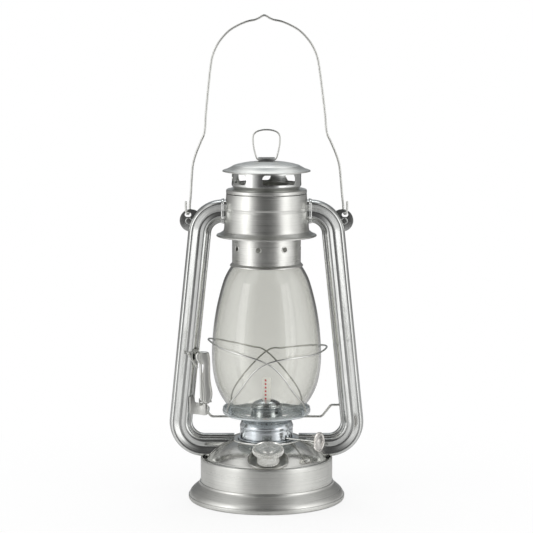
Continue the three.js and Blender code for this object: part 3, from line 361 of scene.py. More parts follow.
def box_tool(low, high, turn=0.0):
    """A plain block between two corners, turned about the lantern's axis, to cut with."""
    x0, y0, z0 = low
    x1, y1, z1 = high
    section = np.array([(x0, y0), (x1, y0), (x1, y1), (x0, y1)])
    return surface("tool", turned_about(lifted(section, (z0, z1)), turn), ends=True)


print("helpers: lifted, plate, turned_about, rod_tool, box_tool")


# %% Placing a piece, and giving it its body and finish
def placed(piece, place):
    """Moves every corner of a piece's mesh by place, a function of points in millimetres."""
    count = len(piece.data.vertices)
    flat = np.empty(count * 3)
    piece.data.vertices.foreach_get("co", flat)
    piece.data.vertices.foreach_set("co", (place(flat.reshape(-1, 3) / MM) * MM).ravel())
    piece.data.update()
    return piece


def belongs(piece, body, slot, *nodes):
    """The piece moves with a body, takes a finish and stands for CAD nodes."""
    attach(piece, body)
    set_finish(piece, slot)
    if nodes:
        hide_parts(*nodes)
    print(f"{piece.name}: {len(piece.data.polygons)} faces, for {', '.join(nodes) or 'itself'}")
    return piece


print("packed solids:", len(frame["nodes"]))

# %% [markdown]
# ## Fount and foot
# The fount is a pressed tin drum with a domed top, seamed to a flared foot with a rolled edge. Both are
# round, so each is one profile spun about the axis, its inside wall included. The filler sits in an oval
# well that is sunk into the dome on its own tilted axis. The well could be sculpted into the dome, but
# its edge would be soft. So a cut opens the dome, and the well's wall is worked out to end on it.

# %% The fount's profile
SHEET = 0.6
DRUM_R, NECK_R = 55.2, 18.3
DOME_BULGE = 2.6
dome_foot, dome_top = np.array([50.6, 36.4]), np.array([29.0, 50.6])
slope = dome_foot - dome_top
dome_peak = (dome_foot + dome_top) / 2 + unit(np.array([-slope[1], slope[0]])) * DOME_BULGE
t = np.linspace(0, 1, 40)[:, None]
dome = (1 - t) ** 2 * dome_foot + 2 * t * (1 - t) * dome_peak + t**2 * dome_top


def dome_height(radius):
    """The height of the dome's surface at a radius."""
    return np.interp(radius, dome[::-1, 0], dome[::-1, 1])


shoulder = bent([
    (DRUM_R, 15.0, 0), (DRUM_R, 35.9, 1.7), (52.3, 35.9, 0.9), (51.5, 34.9, 0.7), (50.6, 36.4, 0),
])
neck = bent([
    (29.2, 50.5, 0), (29.3, 51.5, 0.4), (27.9, 51.5, 0.4), (27.7, 50.95, 0.2), (NECK_R, 50.95, 0),
], 5)
fount_line = np.concatenate([shoulder[:-1], dome[:-1], neck])
inside_line = np.concatenate([
    [(NECK_R, 50.35), (28.6, 50.1)], dome[::-1] - [0.3, 0.55],
    [(49.6, 35.4), (DRUM_R - SHEET, 34.6), (DRUM_R - SHEET, 15.0)],
])
fount = spun("fount_body", np.concatenate([refined(fount_line, 3), refined(inside_line, 3)]), turns=192)
print("fount:", len(fount.data.polygons), "faces before its well is cut")

# %% The filler's tilted axis and its well
FILLER_AT = np.array([1.3, -41.6, 39.5])
FILLER_TILT = math.radians(16.1)
WELL_R = 12.9
WELL_STRETCH = 1.27


def to_filler(points):
    """Tips points by the filler's tilt about X and moves them to the filler."""
    c, s = math.cos(FILLER_TILT), math.sin(FILLER_TILT)
    return points @ np.array([[1, 0, 0], [0, c, s], [0, -s, c]]) + FILLER_AT


def well_row(radius, turns, level):
    """Points of the oval recess: wide across the dome, and round again at the neck in its middle."""
    stretch = 1 + (WELL_STRETCH - 1) * np.clip((radius - 8) / 4, 0, 1)
    across, deep = stretch * radius * np.cos(turns), radius * np.sin(turns)
    return np.stack([across, deep, level + 0 * turns], axis=-1)


def well_rim(radius, turns):
    """For each turn, how far along the filler's axis its line at that radius meets the dome.

    Found by halving: the line is below the dome at the start and above it at the end.
    """
    low, high = np.full(turns.shape, -12.0), np.full(turns.shape, 30.0)
    for _ in range(40):
        middle = (low + high) / 2
        spot = to_filler(well_row(radius, turns, middle))
        under = spot[..., 2] < dome_height(np.hypot(spot[..., 0], spot[..., 1]))
        low, high = np.where(under, middle, low), np.where(under, high, middle)
    return (low + high) / 2


mouth = rod_tool(WELL_R, -8.0, 30.0, 96)
cut(fount, placed(mouth, lambda p: to_filler(p * [WELL_STRETCH, 1, 1])), crease=24)
belongs(fount, "frame", "satin_tin", "fount_shell")
# From outside in: a lip that lies on the dome, a wall that falls as a share of the rim's height, the
# floor and the neck, and the way back underneath.
around = even_turns(96)
rim_at = well_rim(12.6, around)
rows = [well_row(radius, around, well_rim(radius, around) + 0.12) for radius in (13.5, 13.0)]
for radius, share in ((12.6, 0.96), (12.45, 0.7), (12.3, 0.3), (12.0, 0.0)):
    rows.append(well_row(radius, around, rim_at * share + (1 - share) * 0.4))
for radius, level in ((11.2, -0.3), (7.9, -0.3), (7.6, 0.0), (7.6, 6.8), (7.3, 7.0), (7.0, 6.8), (7.0, -0.9),
                      (12.4, -0.9), (12.75, 0.5)):
    rows.append(well_row(radius, around, level))
rows.append(well_row(WELL_R, around, rim_at - 0.9))
well = surface("filler_seat", to_filler(np.stack(rows)), crease=40)
belongs(well, "frame", "satin_tin", "filler_well")

# %% The flared foot and the bottom
seam = bent([(DRUM_R, 15.4, 0), (56.0, 15.3, 0.7), (56.4, 13.7, 0.9), (57.2, 12.7, 0)])
flare = curve([(57.2, 12.7), (59.4, 10.9), (61.6, 9.0), (63.2, 7.4), (64.3, 5.6), (64.6, 4.7)], 24)
rolled = bent([
    (64.6, 4.7, 0), (64.7, 4.2, 0.2), (65.4, 4.1, 0.7), (65.4, 0.0, 2.0), (61.4, 0.0, 0.9), (61.4, 2.4, 0.6),
    (62.6, 3.4, 0),
])
inner_flare = curve([(62.9, 5.0), (62.0, 7.0), (60.4, 8.8), (58.4, 10.7), (55.8, 12.6), (54.7, 14.7)], 20)
foot = spun("foot_flare", np.concatenate([seam, flare[1:], rolled[1:], inner_flare]), turns=192)
belongs(foot, "frame", "satin_tin", "foot_skirt")
bottom_line = bent([(0, 11.5, 0), (50.2, 11.5, 1.2), (52.6, 13.5, 0.8), (54.3, 13.5, 0)])
belongs(spun("fount_pan", walled(bottom_line, -SHEET), 128), "frame", "satin_tin", "fount_bottom")

# %% [markdown]
# ## Filler cap
# The cap is cast or turned zinc with a pale plating: a finely knurled skirt, a wider toothed rim and a
# sunk top with a raised centre disc. The teeth could be cut one by one, but then each would need clean
# corners. Here they are a wave on the radius, worked out for the whole rim at once, so they stay crisp.

# %% The cap and its gasket
CAP_TEETH, CAP_TOOTH_DEPTH = 38, 0.6


def ribbed(name, profile, ribs, depth, steps):
    """A spun profile whose third column says how much of a wave lies on the radius there.

    radius = r - share * depth * (1 - cos(ribs * t)) / 2, a row of round ribs with some steps each.
    """
    t = even_turns(ribs * steps)
    wave = depth * (0.5 - 0.5 * np.cos(ribs * t))
    return surface(name, polar(profile[:, :1] - profile[:, 2:3] * wave, t, profile[:, 1:2]), crease=50)


cap_profile = np.array([
    (7.9, 0.15, 0), (8.2, 0, 0), (9.1, 0, 0), (9.3, 0.3, 0), (9.3, 0.8, 0.5), (9.3, 7.7, 0.5), (9.3, 8.1, 0),
    (9.9, 8.4, 0), (11.8, 8.7, 0.6), (12.7, 9.0, 2.6), (12.9, 9.3, 3.2), (12.9, 11.4, 3.2), (12.8, 11.8, 1.6),
    (12.5, 12.2, 0), (12.2, 12.4, 0), (11.9, 12.2, 0), (11.7, 11.0, 0), (11.4, 10.7, 0), (11.1, 11.0, 0),
    (10.9, 11.9, 0), (10.5, 12.1, 0), (9.9, 11.9, 0), (8.0, 10.9, 0), (6.0, 10.4, 0), (5.0, 10.4, 0),
    (4.6, 10.8, 0), (4.2, 11.3, 0), (3.6, 11.4, 0), (0, 11.4, 0),
    (0, 8.6, 0), (7.4, 8.6, 0), (7.9, 8.2, 0),
])
cap = ribbed("filler_cap_knurled", cap_profile, CAP_TEETH, CAP_TOOTH_DEPTH, 12)
belongs(placed(cap, to_filler), "filler_cap", "nickel_plate", "filler_cap")
gasket_line = bent([(5.8, 7.3, 0), (7.6, 7.3, 0.25), (7.6, 8.3, 0.25), (5.8, 8.3, 0.25), (5.8, 7.3, 0)])
gasket = spun("gasket_ring", gasket_line[:-1], 64)
belongs(placed(gasket, to_filler), "gasket", "rubber", "cap_gasket")

# %% [markdown]
# ## Burner
# The burner is zinc-plated steel: a flange that screws into the fount, a body with a waist bead, and a
# cone whose dome has the long slot for the flame. Its openings are punched, and none goes all the way
# round, so a profile can't leave them out: each piece is spun whole and then cut with plain blocks. The
# burner faces along its shaft's direction, a little to the right of the front.

# %% Flange, body and cone
DRIVE_TURN = math.radians(-29.3)
SHAFT_Y, SHAFT_Z, SHAFT_ROOM = -5.0, 53.6, 1.1
CONE_WALL = 0.5
VENT_TURN = math.radians(-49)
flange_line = bent([
    (17.3, 52.0, 0), (17.3, 46.3, 0), (18.0, 46.3, 0), (18.0, 51.05, 0), (23.8, 51.05, 0.3),
    (24.4, 51.5, 0.3), (23.8, 52.05, 0.3), (17.3, 52.05, 0),
])
belongs(spun("burner_seat", flange_line[:-1]), "frame", "zinc_plate", "burner_flange")

body_line = bent([
    (22.0, 52.35, 0), (22.0, 59.2, 0.6), (21.5, 59.9, 0.5), (22.3, 60.8, 0.5), (22.4, 62.4, 1.6),
    (21.0, 65.6, 3.0), (18.4, 68.2, 3.0), (14.0, 68.9, 0),
])
body = spun("burner_drum", walled(refined(body_line, 1.5), SHEET), 160)
shaft_slot = box_tool((12, SHAFT_Y - SHAFT_ROOM, 50), (30, SHAFT_Y + SHAFT_ROOM, 56.2), DRIVE_TURN)
# A narrow dark key slot stands beside the shaft's slot.
key_slot = box_tool((12, -1.1, 52.6), (30, 1.0, 56.6), DRIVE_TURN)
cut(body, shaft_slot, key_slot, crease=28)
belongs(body, "frame", "zinc_plate", "burner_body")

cone_dome_t = np.linspace(0, math.pi / 2, 20)
cone_line = np.concatenate([
    bent([(13.9, 69.0, 0), (13.5, 70.2, 1.0), (12.9, 73.0, 6.0), (12.4, 76.2, 0.4),
          (13.1, 77.1, 0.4), (13.0, 78.6, 0.5), (12.0, 79.2, 0)]),
    np.stack([11.8 * np.cos(cone_dome_t), 79.3 + 4.5 * np.sin(cone_dome_t)], axis=1),
])
cone = spun("flame_cone", walled(refined(cone_line, 1.0), CONE_WALL), 144)
flame_slot = box_tool((-11.6, -2.9, 79.5), (11.6, 2.9, 90), DRIVE_TURN)
side_vent = box_tool((8, -1.7, 74.6), (20, 1.7, 77.0), VENT_TURN)
cut(cone, flame_slot, side_vent, crease=28)
belongs(cone, "frame", "zinc_plate", "burner_cone")

# %% [markdown]
# ## Wick and its drive
# A flat cotton wick runs in an oval tube, and two toothed wheels on a shaft reach it through the tube's
# windows. The shaft ends in a knurled knob. The shaft's parts lie on an axis of their own, so they are
# spun about the lantern's axis first and then laid along the shaft: that keeps one function for all.

# %% Wick tube, shaft, knob and toothed wheels
WHEEL_X, KNOB_X = 2.2, 52.4
KNOB_RIBS, KNOB_RIB_DEPTH = 44, 0.5


def to_drive(points):
    """Turns points from the wick drive's own direction to the lantern's."""
    return turned_about(points, DRIVE_TURN)


def on_shaft(points):
    """Lays a piece spun about Z along the shaft: its Z runs outwards from the lantern's axis."""
    return to_drive(points[..., [2, 0, 1]] + np.array([0, SHAFT_Y, SHAFT_Z]))


def rounded_box(a, b, radius, steps=5):
    """A rounded rectangle of half sizes a and b, as a closed outline."""
    corners = [(a, 0, 0), (a, b, radius), (-a, b, radius), (-a, -b, radius), (a, -b, radius), (a, 0, 0)]
    return bent(corners, steps)[:-1]


tube_wall = np.concatenate([
    lifted(rounded_box(4.7, 1.9, 0.9), (42, 79.2, 79.5)),
    lifted(rounded_box(4.1, 1.3, 0.6), (79.8, 79.5, 42)),
])
tube = surface("wick_guide", tube_wall)
windows = [box_tool((x - 0.95, -9, 50.5), (x + 0.95, 0, 56.7)) for x in (-WHEEL_X, WHEEL_X)]
placed(cut(tube, *windows), to_drive)
belongs(tube, "frame", "zinc_plate", "wick_tube")

shaft_line = bent([(0, -12, 0), (0.75, -12, 0.2), (0.75, 53.6, 0.25), (0, 53.9, 0)])
belongs(placed(spun("shaft", shaft_line, 24), on_shaft), "wick_drive", "steel_wire", "wick_spindle")
knob_profile = np.array([
    (1.05, -1.3, 0), (2.6, -1.3, 0), (3.0, -1.0, 0), (6.4, -1.0, 0), (7.2, -1.3, 0), (7.9, -1.1, 0.4),
    (8.2, -0.8, 1), (8.2, 0.8, 1), (7.9, 1.15, 0.4), (7.3, 1.3, 0), (6.9, 1.25, 0), (6.6, 0.9, 0),
    (6.4, 0.6, 0), (3.3, 0.5, 0), (2.9, 0.7, 0), (2.7, 1.2, 0), (2.4, 1.3, 0), (1.05, 1.3, 0),
])
knob_profile += [0, KNOB_X, 0]
knob = placed(ribbed("wick_knob_knurled", knob_profile, KNOB_RIBS, KNOB_RIB_DEPTH, 10), on_shaft)
belongs(knob, "wick_drive", "nickel_plate", "wick_knob")
for name, x in (("inner", -WHEEL_X), ("outer", WHEEL_X)):
    t = even_turns(96)
    tooth = 3.15 + 0.55 * np.cos(8 * t)
    outline = np.stack([tooth * np.cos(t), tooth * np.sin(t)], axis=1)
    wheel = plate(f"{name}_wick_wheel", outline, -0.6, 0.6, lambda p: on_shaft(p + [0, 0, x]))
    belongs(wheel, "wick_drive", "steel_wire", f"{name}_sprocket")

# %% The wick
wick_heights = np.linspace(33, 102.0, 120)
wick_outline = rounded_box(3.8, 1.0, 0.8, 6)
wick_rows = lifted(wick_outline, wick_heights)
swell = 1 + 0.03 * np.sin(wick_heights * 2.1)[:, None] * np.sign(wick_outline[:, 1])[None, :]
wick_rows[..., 1] *= swell
top_line = wick_rows[-1:].copy()
top_line[..., :2] *= 0.9
top_line[..., 2] += 0.2
wick = surface("wick_tape", np.concatenate([wick_rows, top_line]), ends=True)
belongs(placed(wick, to_drive), "wick", "cotton", "wick")

# %% [markdown]
# ## Globe and its carriage
# The globe is blown glass, so its wall follows one smooth curve from the foot to the neck. It stands on
# a perforated plate, which hangs on a bowed wire between the two side tubes. Two guard wires cross in
# front of the glass and behind it, and hook over the plate's rim. Wires could be curve objects with a
# bevel. A swept grid is used instead, because its UV map runs along the wire and its ends are domed.

# %% The perforated plate
# Its rim is a low bead, and at the left and the right it rises to a curled ear for the guard wires.
PLATE_WALL = 0.5
plate_line = refined(bent([(17.6, 71.3, 0), (18.4, 71.3, 0.3), (19.2, 71.6, 0.4), (33.0, 71.6, 0)]), 2.0)
rim_t = np.linspace(-math.pi / 2, math.pi / 5, 14)
ear_line = np.concatenate([
    np.stack([33.4 + 3.4 * np.cos(rim_t), 74.7 + 3.1 * np.sin(rim_t)], axis=1),
    np.array([(36.5, 77.2), (36.2, 77.7), (35.9, 77.8)]),
])
bead_line = curve([(33.4, 71.6), (35.4, 71.7), (36.4, 72.1), (36.7, 72.8), (36.3, 73.4), (35.7, 73.3)], 17)
high, low = (walled(np.concatenate([plate_line, rim]), PLATE_WALL) for rim in (ear_line, bead_line))
turns = even_turns(224)
# The rise is a soft step: s * s * (3 - 2 * s), where s grows with how far the turn points sideways.
rise = np.clip((np.abs(np.cos(turns)) - 0.84) / 0.08, 0, 1)
rise = (rise * rise * (3 - 2 * rise))[None, :]
radius, level = (low[:, k : k + 1] * (1 - rise) + high[:, k : k + 1] * rise for k in (0, 1))
globe_plate = surface("perforated_plate", polar(radius, turns, level))
holes = []
for ring_radius, count, offset in ((21.4, 24, 0.0), (26.4, 30, 0.5)):
    for i in range(count):
        spot = polar(ring_radius, (i + offset) * 2 * math.pi / count, 0.0)
        holes.append(placed(rod_tool(1.1, 66.0, 80.0, 14), lambda p: p + spot))
cut(globe_plate, merged("tool", holes), crease=28)
belongs(globe_plate, "carriage", "zinc_plate", "globe_plate")

# %% The blown globe
GLASS_WALL = 1.9
globe_spots = [
    (29.6, 72.5), (30.3, 76.2), (32.0, 78.9), (34.3, 81.7), (38.0, 87.4), (41.0, 93.6), (43.1, 100.1),
    (44.5, 107.3), (45.3, 114.5), (45.55, 122.1), (45.2, 132.2), (44.3, 143.2), (43.2, 151.9), (41.5, 161.7),
    (39.6, 170.0), (37.6, 177.7), (35.2, 185.2), (32.6, 190.7), (29.6, 195.6), (27.6, 198.0), (26.9, 200.4),
    (26.8, 202.9),
]
glass = spun("globe_glass", walled(curve(globe_spots, 150), GLASS_WALL), 192, crease=80)
belongs(glass, "carriage", "glass", "globe")

# %% The carriage wire and the guard wires
BOW_R, BOW_Z = 28, 69.2
GUARD_WIRE_R, FRONT_CROSSING, BACK_CROSSING = 0.75, 122.0, 116.6
bow = polar(BOW_R, np.linspace(math.pi, 0, 40), BOW_Z)
right_end = bent([(BOW_R, 0.4, BOW_Z, 0), (46.2, 0, BOW_Z, 3.5), (54.1, 0, 79.1, 3.0), (63.1, 0, 79.1, 0)])
left_end = right_end[::-1] * [-1, 1, 1]
carriage_path = evenly(np.concatenate([left_end, bow[1:-1], right_end]), 220)
belongs(wire("carriage_wire", carriage_path, 1.0), "carriage", "steel_wire", "lift_wire")


def guard_path(tip, out):
    """A guard wire's line, first as (turn, radius, height), then bent round the axis.

    It hooks over the plate's ear, crosses in front, has its tip over the tube and falls steadily behind
    the glass to the crossing there. out is how much farther out than the other wire it runs.
    """
    front = [(30, 47.4, tip - 1.6), (90, 47.6, FRONT_CROSSING), (122, 45.8, 94.0)]
    falls = ((24, 0.84), (46, 0.6), (60, 0.44), (74, 0.26))
    back = [(-turn, 47.3, BACK_CROSSING + (tip - BACK_CROSSING) * share) for turn, share in falls]
    back += [(-90, 47.4, BACK_CROSSING), (-124, 44.0, 91.0)]
    free = [(turn, radius + out, height) for turn, radius, height in [*back[::-1], (0, 48.4, tip), *front]]
    line = curve([(-150, 37.3, 76.6), *free, (150, 37.3, 76.6)], 240)
    return polar(line[:, 1], math.pi + np.radians(line[:, 0]), line[:, 2])


for name, side, tip, out in (("left", 1, 134.6, 0), ("right", -1, 128.4, 1.8)):
    guard = wire(f"guard_{name}", guard_path(tip, out) * [side, 1, 1], GUARD_WIRE_R)
    belongs(guard, "carriage", "steel_wire", f"guard_wire_{name}")

# %% [markdown]
# ## Canopy
# A pierced collar rests on the glass. Above it stand the chimney, the slotted crown and the cap, and the
# whole column slides up inside the hood against a spring. The crown's slots are punched ovals. An alpha
# pattern could fake them, but light has to fall through, so each is cut with an oval block. Small raised
# eyelets line the collar's round holes.

# %% The pierced collar
COLLAR_R, EYE_R, EYE_Z, EYES, FIRST_EYE = 28.5, 2.45, 212.4, 8, math.radians(-13.6)
EYELET_WIDE, EYELET_HIGH = 0.42, 0.30
collar_line = bent([
    (30.4, 196.7, 0), (30.3, 197.4, 0.3), (COLLAR_R, 199.2, 0.8), (COLLAR_R, 223.6, 0.5), (26.3, 223.6, 0),
])
collar = spun("pierced_collar", walled(refined(collar_line, 2.0), SHEET), 192)


def radial_tool(outline, turn, height, near, far):
    """A flat outline (a, b) as a block that points outwards at a turn: a runs round, b runs up."""
    def place(points):
        spots = np.stack([points[..., 2], points[..., 0], points[..., 1] + height], axis=-1)
        return turned_about(spots, turn)
    return plate("tool", outline, near, far, place)


eye_turns = [FIRST_EYE + i * 2 * math.pi / EYES - math.pi / 2 for i in range(EYES)]
holes = [radial_tool(ring_section(2.2, 24), turn, EYE_Z, 20, 36) for turn in eye_turns]
cut(collar, merged("tool", holes), crease=28)
# An eyelet is a thin ring bent to the collar: out = root(R^2 - across^2), plus its own roundness.
t, s = even_turns(40)[:, None], even_turns(10)[None, :]
ring = EYE_R + EYELET_WIDE * np.cos(s)
out = np.sqrt(COLLAR_R**2 - (ring * np.cos(t)) ** 2) + EYELET_HIGH * np.sin(s)
eyelet = np.stack(np.broadcast_arrays(out, ring * np.cos(t), EYE_Z + ring * np.sin(t)), axis=-1)
eyelets = [surface("eyelet", turned_about(eyelet, turn)) for turn in eye_turns]
belongs(merged("pierced_collar_dressed", [collar] + eyelets), "canopy", "satin_tin", "globe_collar")

# %% The chimney and its spring
# The flange ends just inside the spring's coils, so it passes them when the lever lifts the canopy.
FLANGE_R, COIL_R, COIL_Z, COIL_RISE, COILS = 29.5, 30.6, 226.1, 32.5, 5
chimney_line = bent([
    (26.0, 215.6, 0), (26.0, 223.9, 0.1), (FLANGE_R, 223.9, 0.2), (FLANGE_R, 225.1, 0.2), (26.0, 225.1, 0.1),
    (26.0, 259.7, 0.1), (25.4, 259.7, 0.1), (25.4, 215.6, 0),
])
belongs(spun("chimney_pipe", chimney_line, 128), "canopy", "satin_tin", "chimney")
# The hood holds the spring's top, and the canopy squeezes it from below.
coil_t = np.linspace(0, COILS * 2 * math.pi, 400)
coil = polar(COIL_R, coil_t, COIL_Z + COIL_RISE * coil_t / coil_t[-1])
spring = wire("hold_down_spring", coil, 0.7, sides=12)
belongs(spring, "frame", "steel_wire", "canopy_spring")
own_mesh(spring)

# %% The slotted crown
CROWN_R, SLOT_Z, SLOT_END, SLOT_HALF_HEIGHT = 28.8, 269.5, 2.4, 4.2
crown_line = bent([(26.9, 257.9, 0), (26.9, 260.6, 1.0), (CROWN_R, 263.6, 1.2), (CROWN_R, 277.9, 0)])
crown = spun("slotted_crown", walled(refined(crown_line, 1.2), SHEET), 256)
slot_t = np.linspace(-math.pi / 2, math.pi / 2, 16)
half_length = CROWN_R * math.sin(math.radians(31)) - SLOT_END
right_half = np.stack([half_length + SLOT_END * np.cos(slot_t), SLOT_HALF_HEIGHT * np.sin(slot_t)], axis=1)
oval = np.concatenate([right_half, -right_half])
for degrees in (-66, 24, 114, 204):
    cut(crown, radial_tool(oval, math.radians(degrees), SLOT_Z, 8, 40), crease=28)
belongs(crown, "canopy", "bright_tin", "crown")

# %% The cap, its strap and the lifting ring
cap_top = curve([
    (0, 283.6), (4, 283.58), (8.5, 283.35), (13, 282.9), (18, 282.2), (23, 281.2), (27.2, 280.0),
], 30)
cap_rim = curve([(27.2, 280.0), (30.0, 278.4), (32.6, 277.1), (35.0, 276.3), (36.2, 275.8)], 16)
cap_lip = bent([(36.2, 275.8, 0), (36.55, 275.3, 0.3), (36.2, 274.9, 0.25), (35.7, 275.2, 0)])
cap_under = np.concatenate([cap_rim[::-1], cap_top[::-1][1:]]) - [0.15, SHEET]
cap_under[:, 0] = np.maximum(cap_under[:, 0], 0)
lid_line = np.concatenate([cap_top, cap_rim[1:], cap_lip[1:], cap_under])
belongs(spun("canopy_lid", lid_line, 192), "canopy", "satin_tin", "canopy_cap")

# The strap lies flat on the cap and humps over the ring.
HUMP_R, HUMP_Z, STRAP_Z = 1.5, 284.65, 283.95
hump_t = np.linspace(0, math.pi, 16)[1:-1]
hump = np.stack([-HUMP_R * np.cos(hump_t), HUMP_Z + HUMP_R * np.sin(hump_t)], axis=1)
strap_spots = [(-6.0, STRAP_Z), (-2.2, STRAP_Z), *hump, (2.2, STRAP_Z), (6.0, STRAP_Z)]
strap_line = walled(bent([(*spot, 0.25) for spot in strap_spots], 4), 0.5)
strap = plate("ring_strap", strap_line, -6.8, 6.8, lambda p: p[..., [2, 0, 1]], bevel=0.12)
belongs(strap, "canopy", "bright_tin", "cap_strap")

ring_half = [(0.3, HUMP_Z), (6.6, 284.7), (8.4, 286.6), (9.7, 291.0), (10.7, 296.0), (11.1, 301.0),
             (10.6, 305.0), (8.2, 307.6), (4.4, 308.9), (0, 309.3)]
ring_spots = ring_half + [(-x, z) for x, z in ring_half[-2::-1]]
ring_path = curve([(x, 0, z) for x, z in ring_spots], 200)
belongs(wire("lifting_ring", ring_path, 0.7, side=(0, 1, 0)), "ring", "steel_wire", "lift_ring")

# %% [markdown]
# ## Hood
# The hood is a drum with a flared skirt and one pressed groove, and its drum tapers a little upwards. The
# side tubes end on its wall, and its top ring closes the gap round the crown's neck. The groove could be
# a bump in the finish, but it shows at the drum's edge, so it is in the profile.

# %% Hood and its top ring
HOOD_R, HOOD_TOP_R, HOOD_Z, HOOD_TOP_Z = 35.2, 33.2, 226.6, 260.3


def hood_radius(z):
    """The drum's radius at a height: an even taper from its foot to its top."""
    return HOOD_R + (z - HOOD_Z) * (HOOD_TOP_R - HOOD_R) / (HOOD_TOP_Z - HOOD_Z)


hood_line = bent([
    (41.3, 221.35, 0), (41.7, 221.9, 0.4), (41.2, 222.6, 0.4), (38.9, 223.4, 2.0), (35.6, 225.8, 1.2),
    (35.1, 228.4, 1.5), (hood_radius(242.0), 242.0, 0.5), (hood_radius(243.6) - 0.6, 243.6, 0.7),
    (hood_radius(245.2), 245.2, 0.5), (33.3, 256.6, 0),
])
belongs(spun("hood_drum", walled(refined(hood_line, 1.5), SHEET), 192), "frame", "satin_tin", "hood_shell")
ring_line = bent([
    (27.2, 260.3, 0), (33.3, 260.3, 1.1), (33.45, 257.9, 0.4), (33.2, 256.9, 0.2), (32.7, 257.6, 0.3),
    (32.6, 259.7, 0.6), (27.2, 259.7, 0),
])
belongs(spun("hood_top_ring", ring_line, 192), "frame", "satin_tin", "hood_ring")

# %% [markdown]
# ## Side tubes
# Each side tube is double-barrelled: two lobes with a narrow valley between, bent in one plane from the
# hood down to the dome. It was drawn and polished before bending, so its grain runs lengthwise. A bevelled
# curve could carry the section too. A grid is used because its UV map can hold millimetres along the
# tube, which the streaks of the finish follow round the bends.

# %% The tube's section and path
BARREL_A, BARREL_B = 9.5, 8.4
TOP_BEND, LOW_BEND = np.array([36.4, 223.0, 19.0]), np.array([51.6, 65.3, 20.0])
HOOD_END_X, DOME_END_X, BEND_STEPS = 32.6, 27.0, 40


def barrel(grow=0.0):
    """Two lobes with a narrow valley between: a tall one outside the bend, a ridged, flat one inside it."""
    tall = curve([(BARREL_A, 0), (9.42, 2.0), (9.15, 4.2), (8.6, 6.1), (7.7, 7.6), (6.6, 8.35), (5.5, 8.2),
                  (4.6, 7.8), (3.2, 7.1), (1.9, 6.42), (1.3, 6.16), (0.7, 6.02), (0.1, 5.98)], 46)
    flat = curve([(0.1, 5.98), (-0.5, 6.07), (-1.0, 6.24), (-2.1, 6.65), (-3.2, 7.04), (-3.6, 7.12),
                  (-4.0, 7.02), (-4.7, 6.73), (-5.4, 6.35), (-5.9, 5.7), (-6.15, 4.6), (-6.4, 3.75),
                  (-6.9, 3.45), (-7.6, 3.4), (-8.3, 3.3), (-8.9, 3.0), (-9.3, 2.4), (-9.48, 1.3),
                  (-BARREL_A, 0)], 58)
    front = np.concatenate([tall, flat[1:]]) * [1 + grow / BARREL_A, 1 + grow / BARREL_B]
    return np.concatenate([front, front[-2:0:-1] * [1, -1]])


def tube_path():
    """Out of the hood, round the top bend, down the leaning leg, round the low bend and into the dome.

    A bend is (x, z, radius). The leg touches both circles, so it leans by atan(across / down) and by
    asin(difference of radii / distance).
    """
    across, down, wider = (LOW_BEND - TOP_BEND) * [1, -1, 1]
    lean = math.atan2(across, down) + math.asin(wider / math.hypot(across, down))
    line = [(HOOD_END_X, 0, TOP_BEND[1] + TOP_BEND[2])]
    for (x, z, radius), first, last in ((TOP_BEND, math.pi / 2, lean), (LOW_BEND, lean, -math.pi / 2)):
        turn = np.linspace(first, last, BEND_STEPS)
        line.extend(np.stack([x + radius * np.cos(turn), 0 * turn, z + radius * np.sin(turn)], axis=1))
    return np.array(line + [(DOME_END_X, 0, LOW_BEND[1] - LOW_BEND[2])])


print("a tube is", round(float(run_of(tube_path())[-1])), "mm long, its section", len(barrel()), "points")

# %% The tubes and their collars
SLOT_X, SLOT_HALF = 61.5, 5.6
# Dark punched holes in the left tube: over the lever's strip, and two at the catch.
left_holes = (((-63.4, -9, 87.3), (-59.8, -3.5, 89.6)), ((-61.2, -9, 118.2), (-59.7, -3, 123.6)),
              ((-59.9, -9, 127.2), (-58.7, -3, 128.8)))
# The collar on the hood, as (distance from the axis, how much wider than the tube).
collar_steps = ((35.0, 0.5), (35.2, 1.0), (35.7, 0.75), (36.9, 0.7), (37.3, 0.35))
for name, side in (("left", -1), ("right", 1)):
    path = evenly(tube_path(), 150) * [side, 1, 1]
    grid = np.concatenate([carried(path, barrel()), carried(path, barrel(-SHEET))[::-1]])
    flow = flow_grid(run_of(barrel()), run_of(path))
    tube = surface(f"{name}_barrel", grid, flow=np.concatenate([flow, flow[::-1]]), crease=38)
    slot_x = side * SLOT_X
    tools = [box_tool((slot_x - SLOT_HALF, -1.5, 76.6), (slot_x + SLOT_HALF, 1.5, 92.6))]
    if side < 0:
        tools += [box_tool(low, high) for low, high in left_holes]
    cut(tube, merged("tool", tools), crease=38)
    belongs(tube, "frame", "bright_tin", f"{name}_tube")
    sleeve_path = np.array([(x, 0, TOP_BEND[1] + TOP_BEND[2]) for x, _ in collar_steps]) * [side, 1, 1]
    sleeve = np.stack([carried(sleeve_path, barrel(grow))[i] for i, (_, grow) in enumerate(collar_steps)])
    sleeve_in = carried(sleeve_path, barrel(0.05))[::-1]
    tube_collar = surface(f"{name}_sleeve", np.concatenate([sleeve, sleeve_in]), crease=40)
    belongs(tube_collar, "frame", "bright_tin", f"{name}_upper_collar")

# %% [markdown]
# ## Ears
# Each ear is a round tin disc soldered upright on the tube's bend, with a hole near its top for the bail
# and a raised eyelet below. A disc with a bevel does it. The hole is two round cuts side by side, wide
# enough for the wire's eye to turn round the strip that is left over it.

# %% The bail's ears
EAR_R, EAR_X, EAR_Z, EAR_LEAN = 9.3, 62.6, 234.2, 0.07
EAR_HOLE_R, EAR_HOLE_XS, EAR_HOLE_Z = 2.0, (64.3, 65.7), 239.0
EYELET_AT, EYELET_R = (64.3, -0.5, 233.8), 2.4


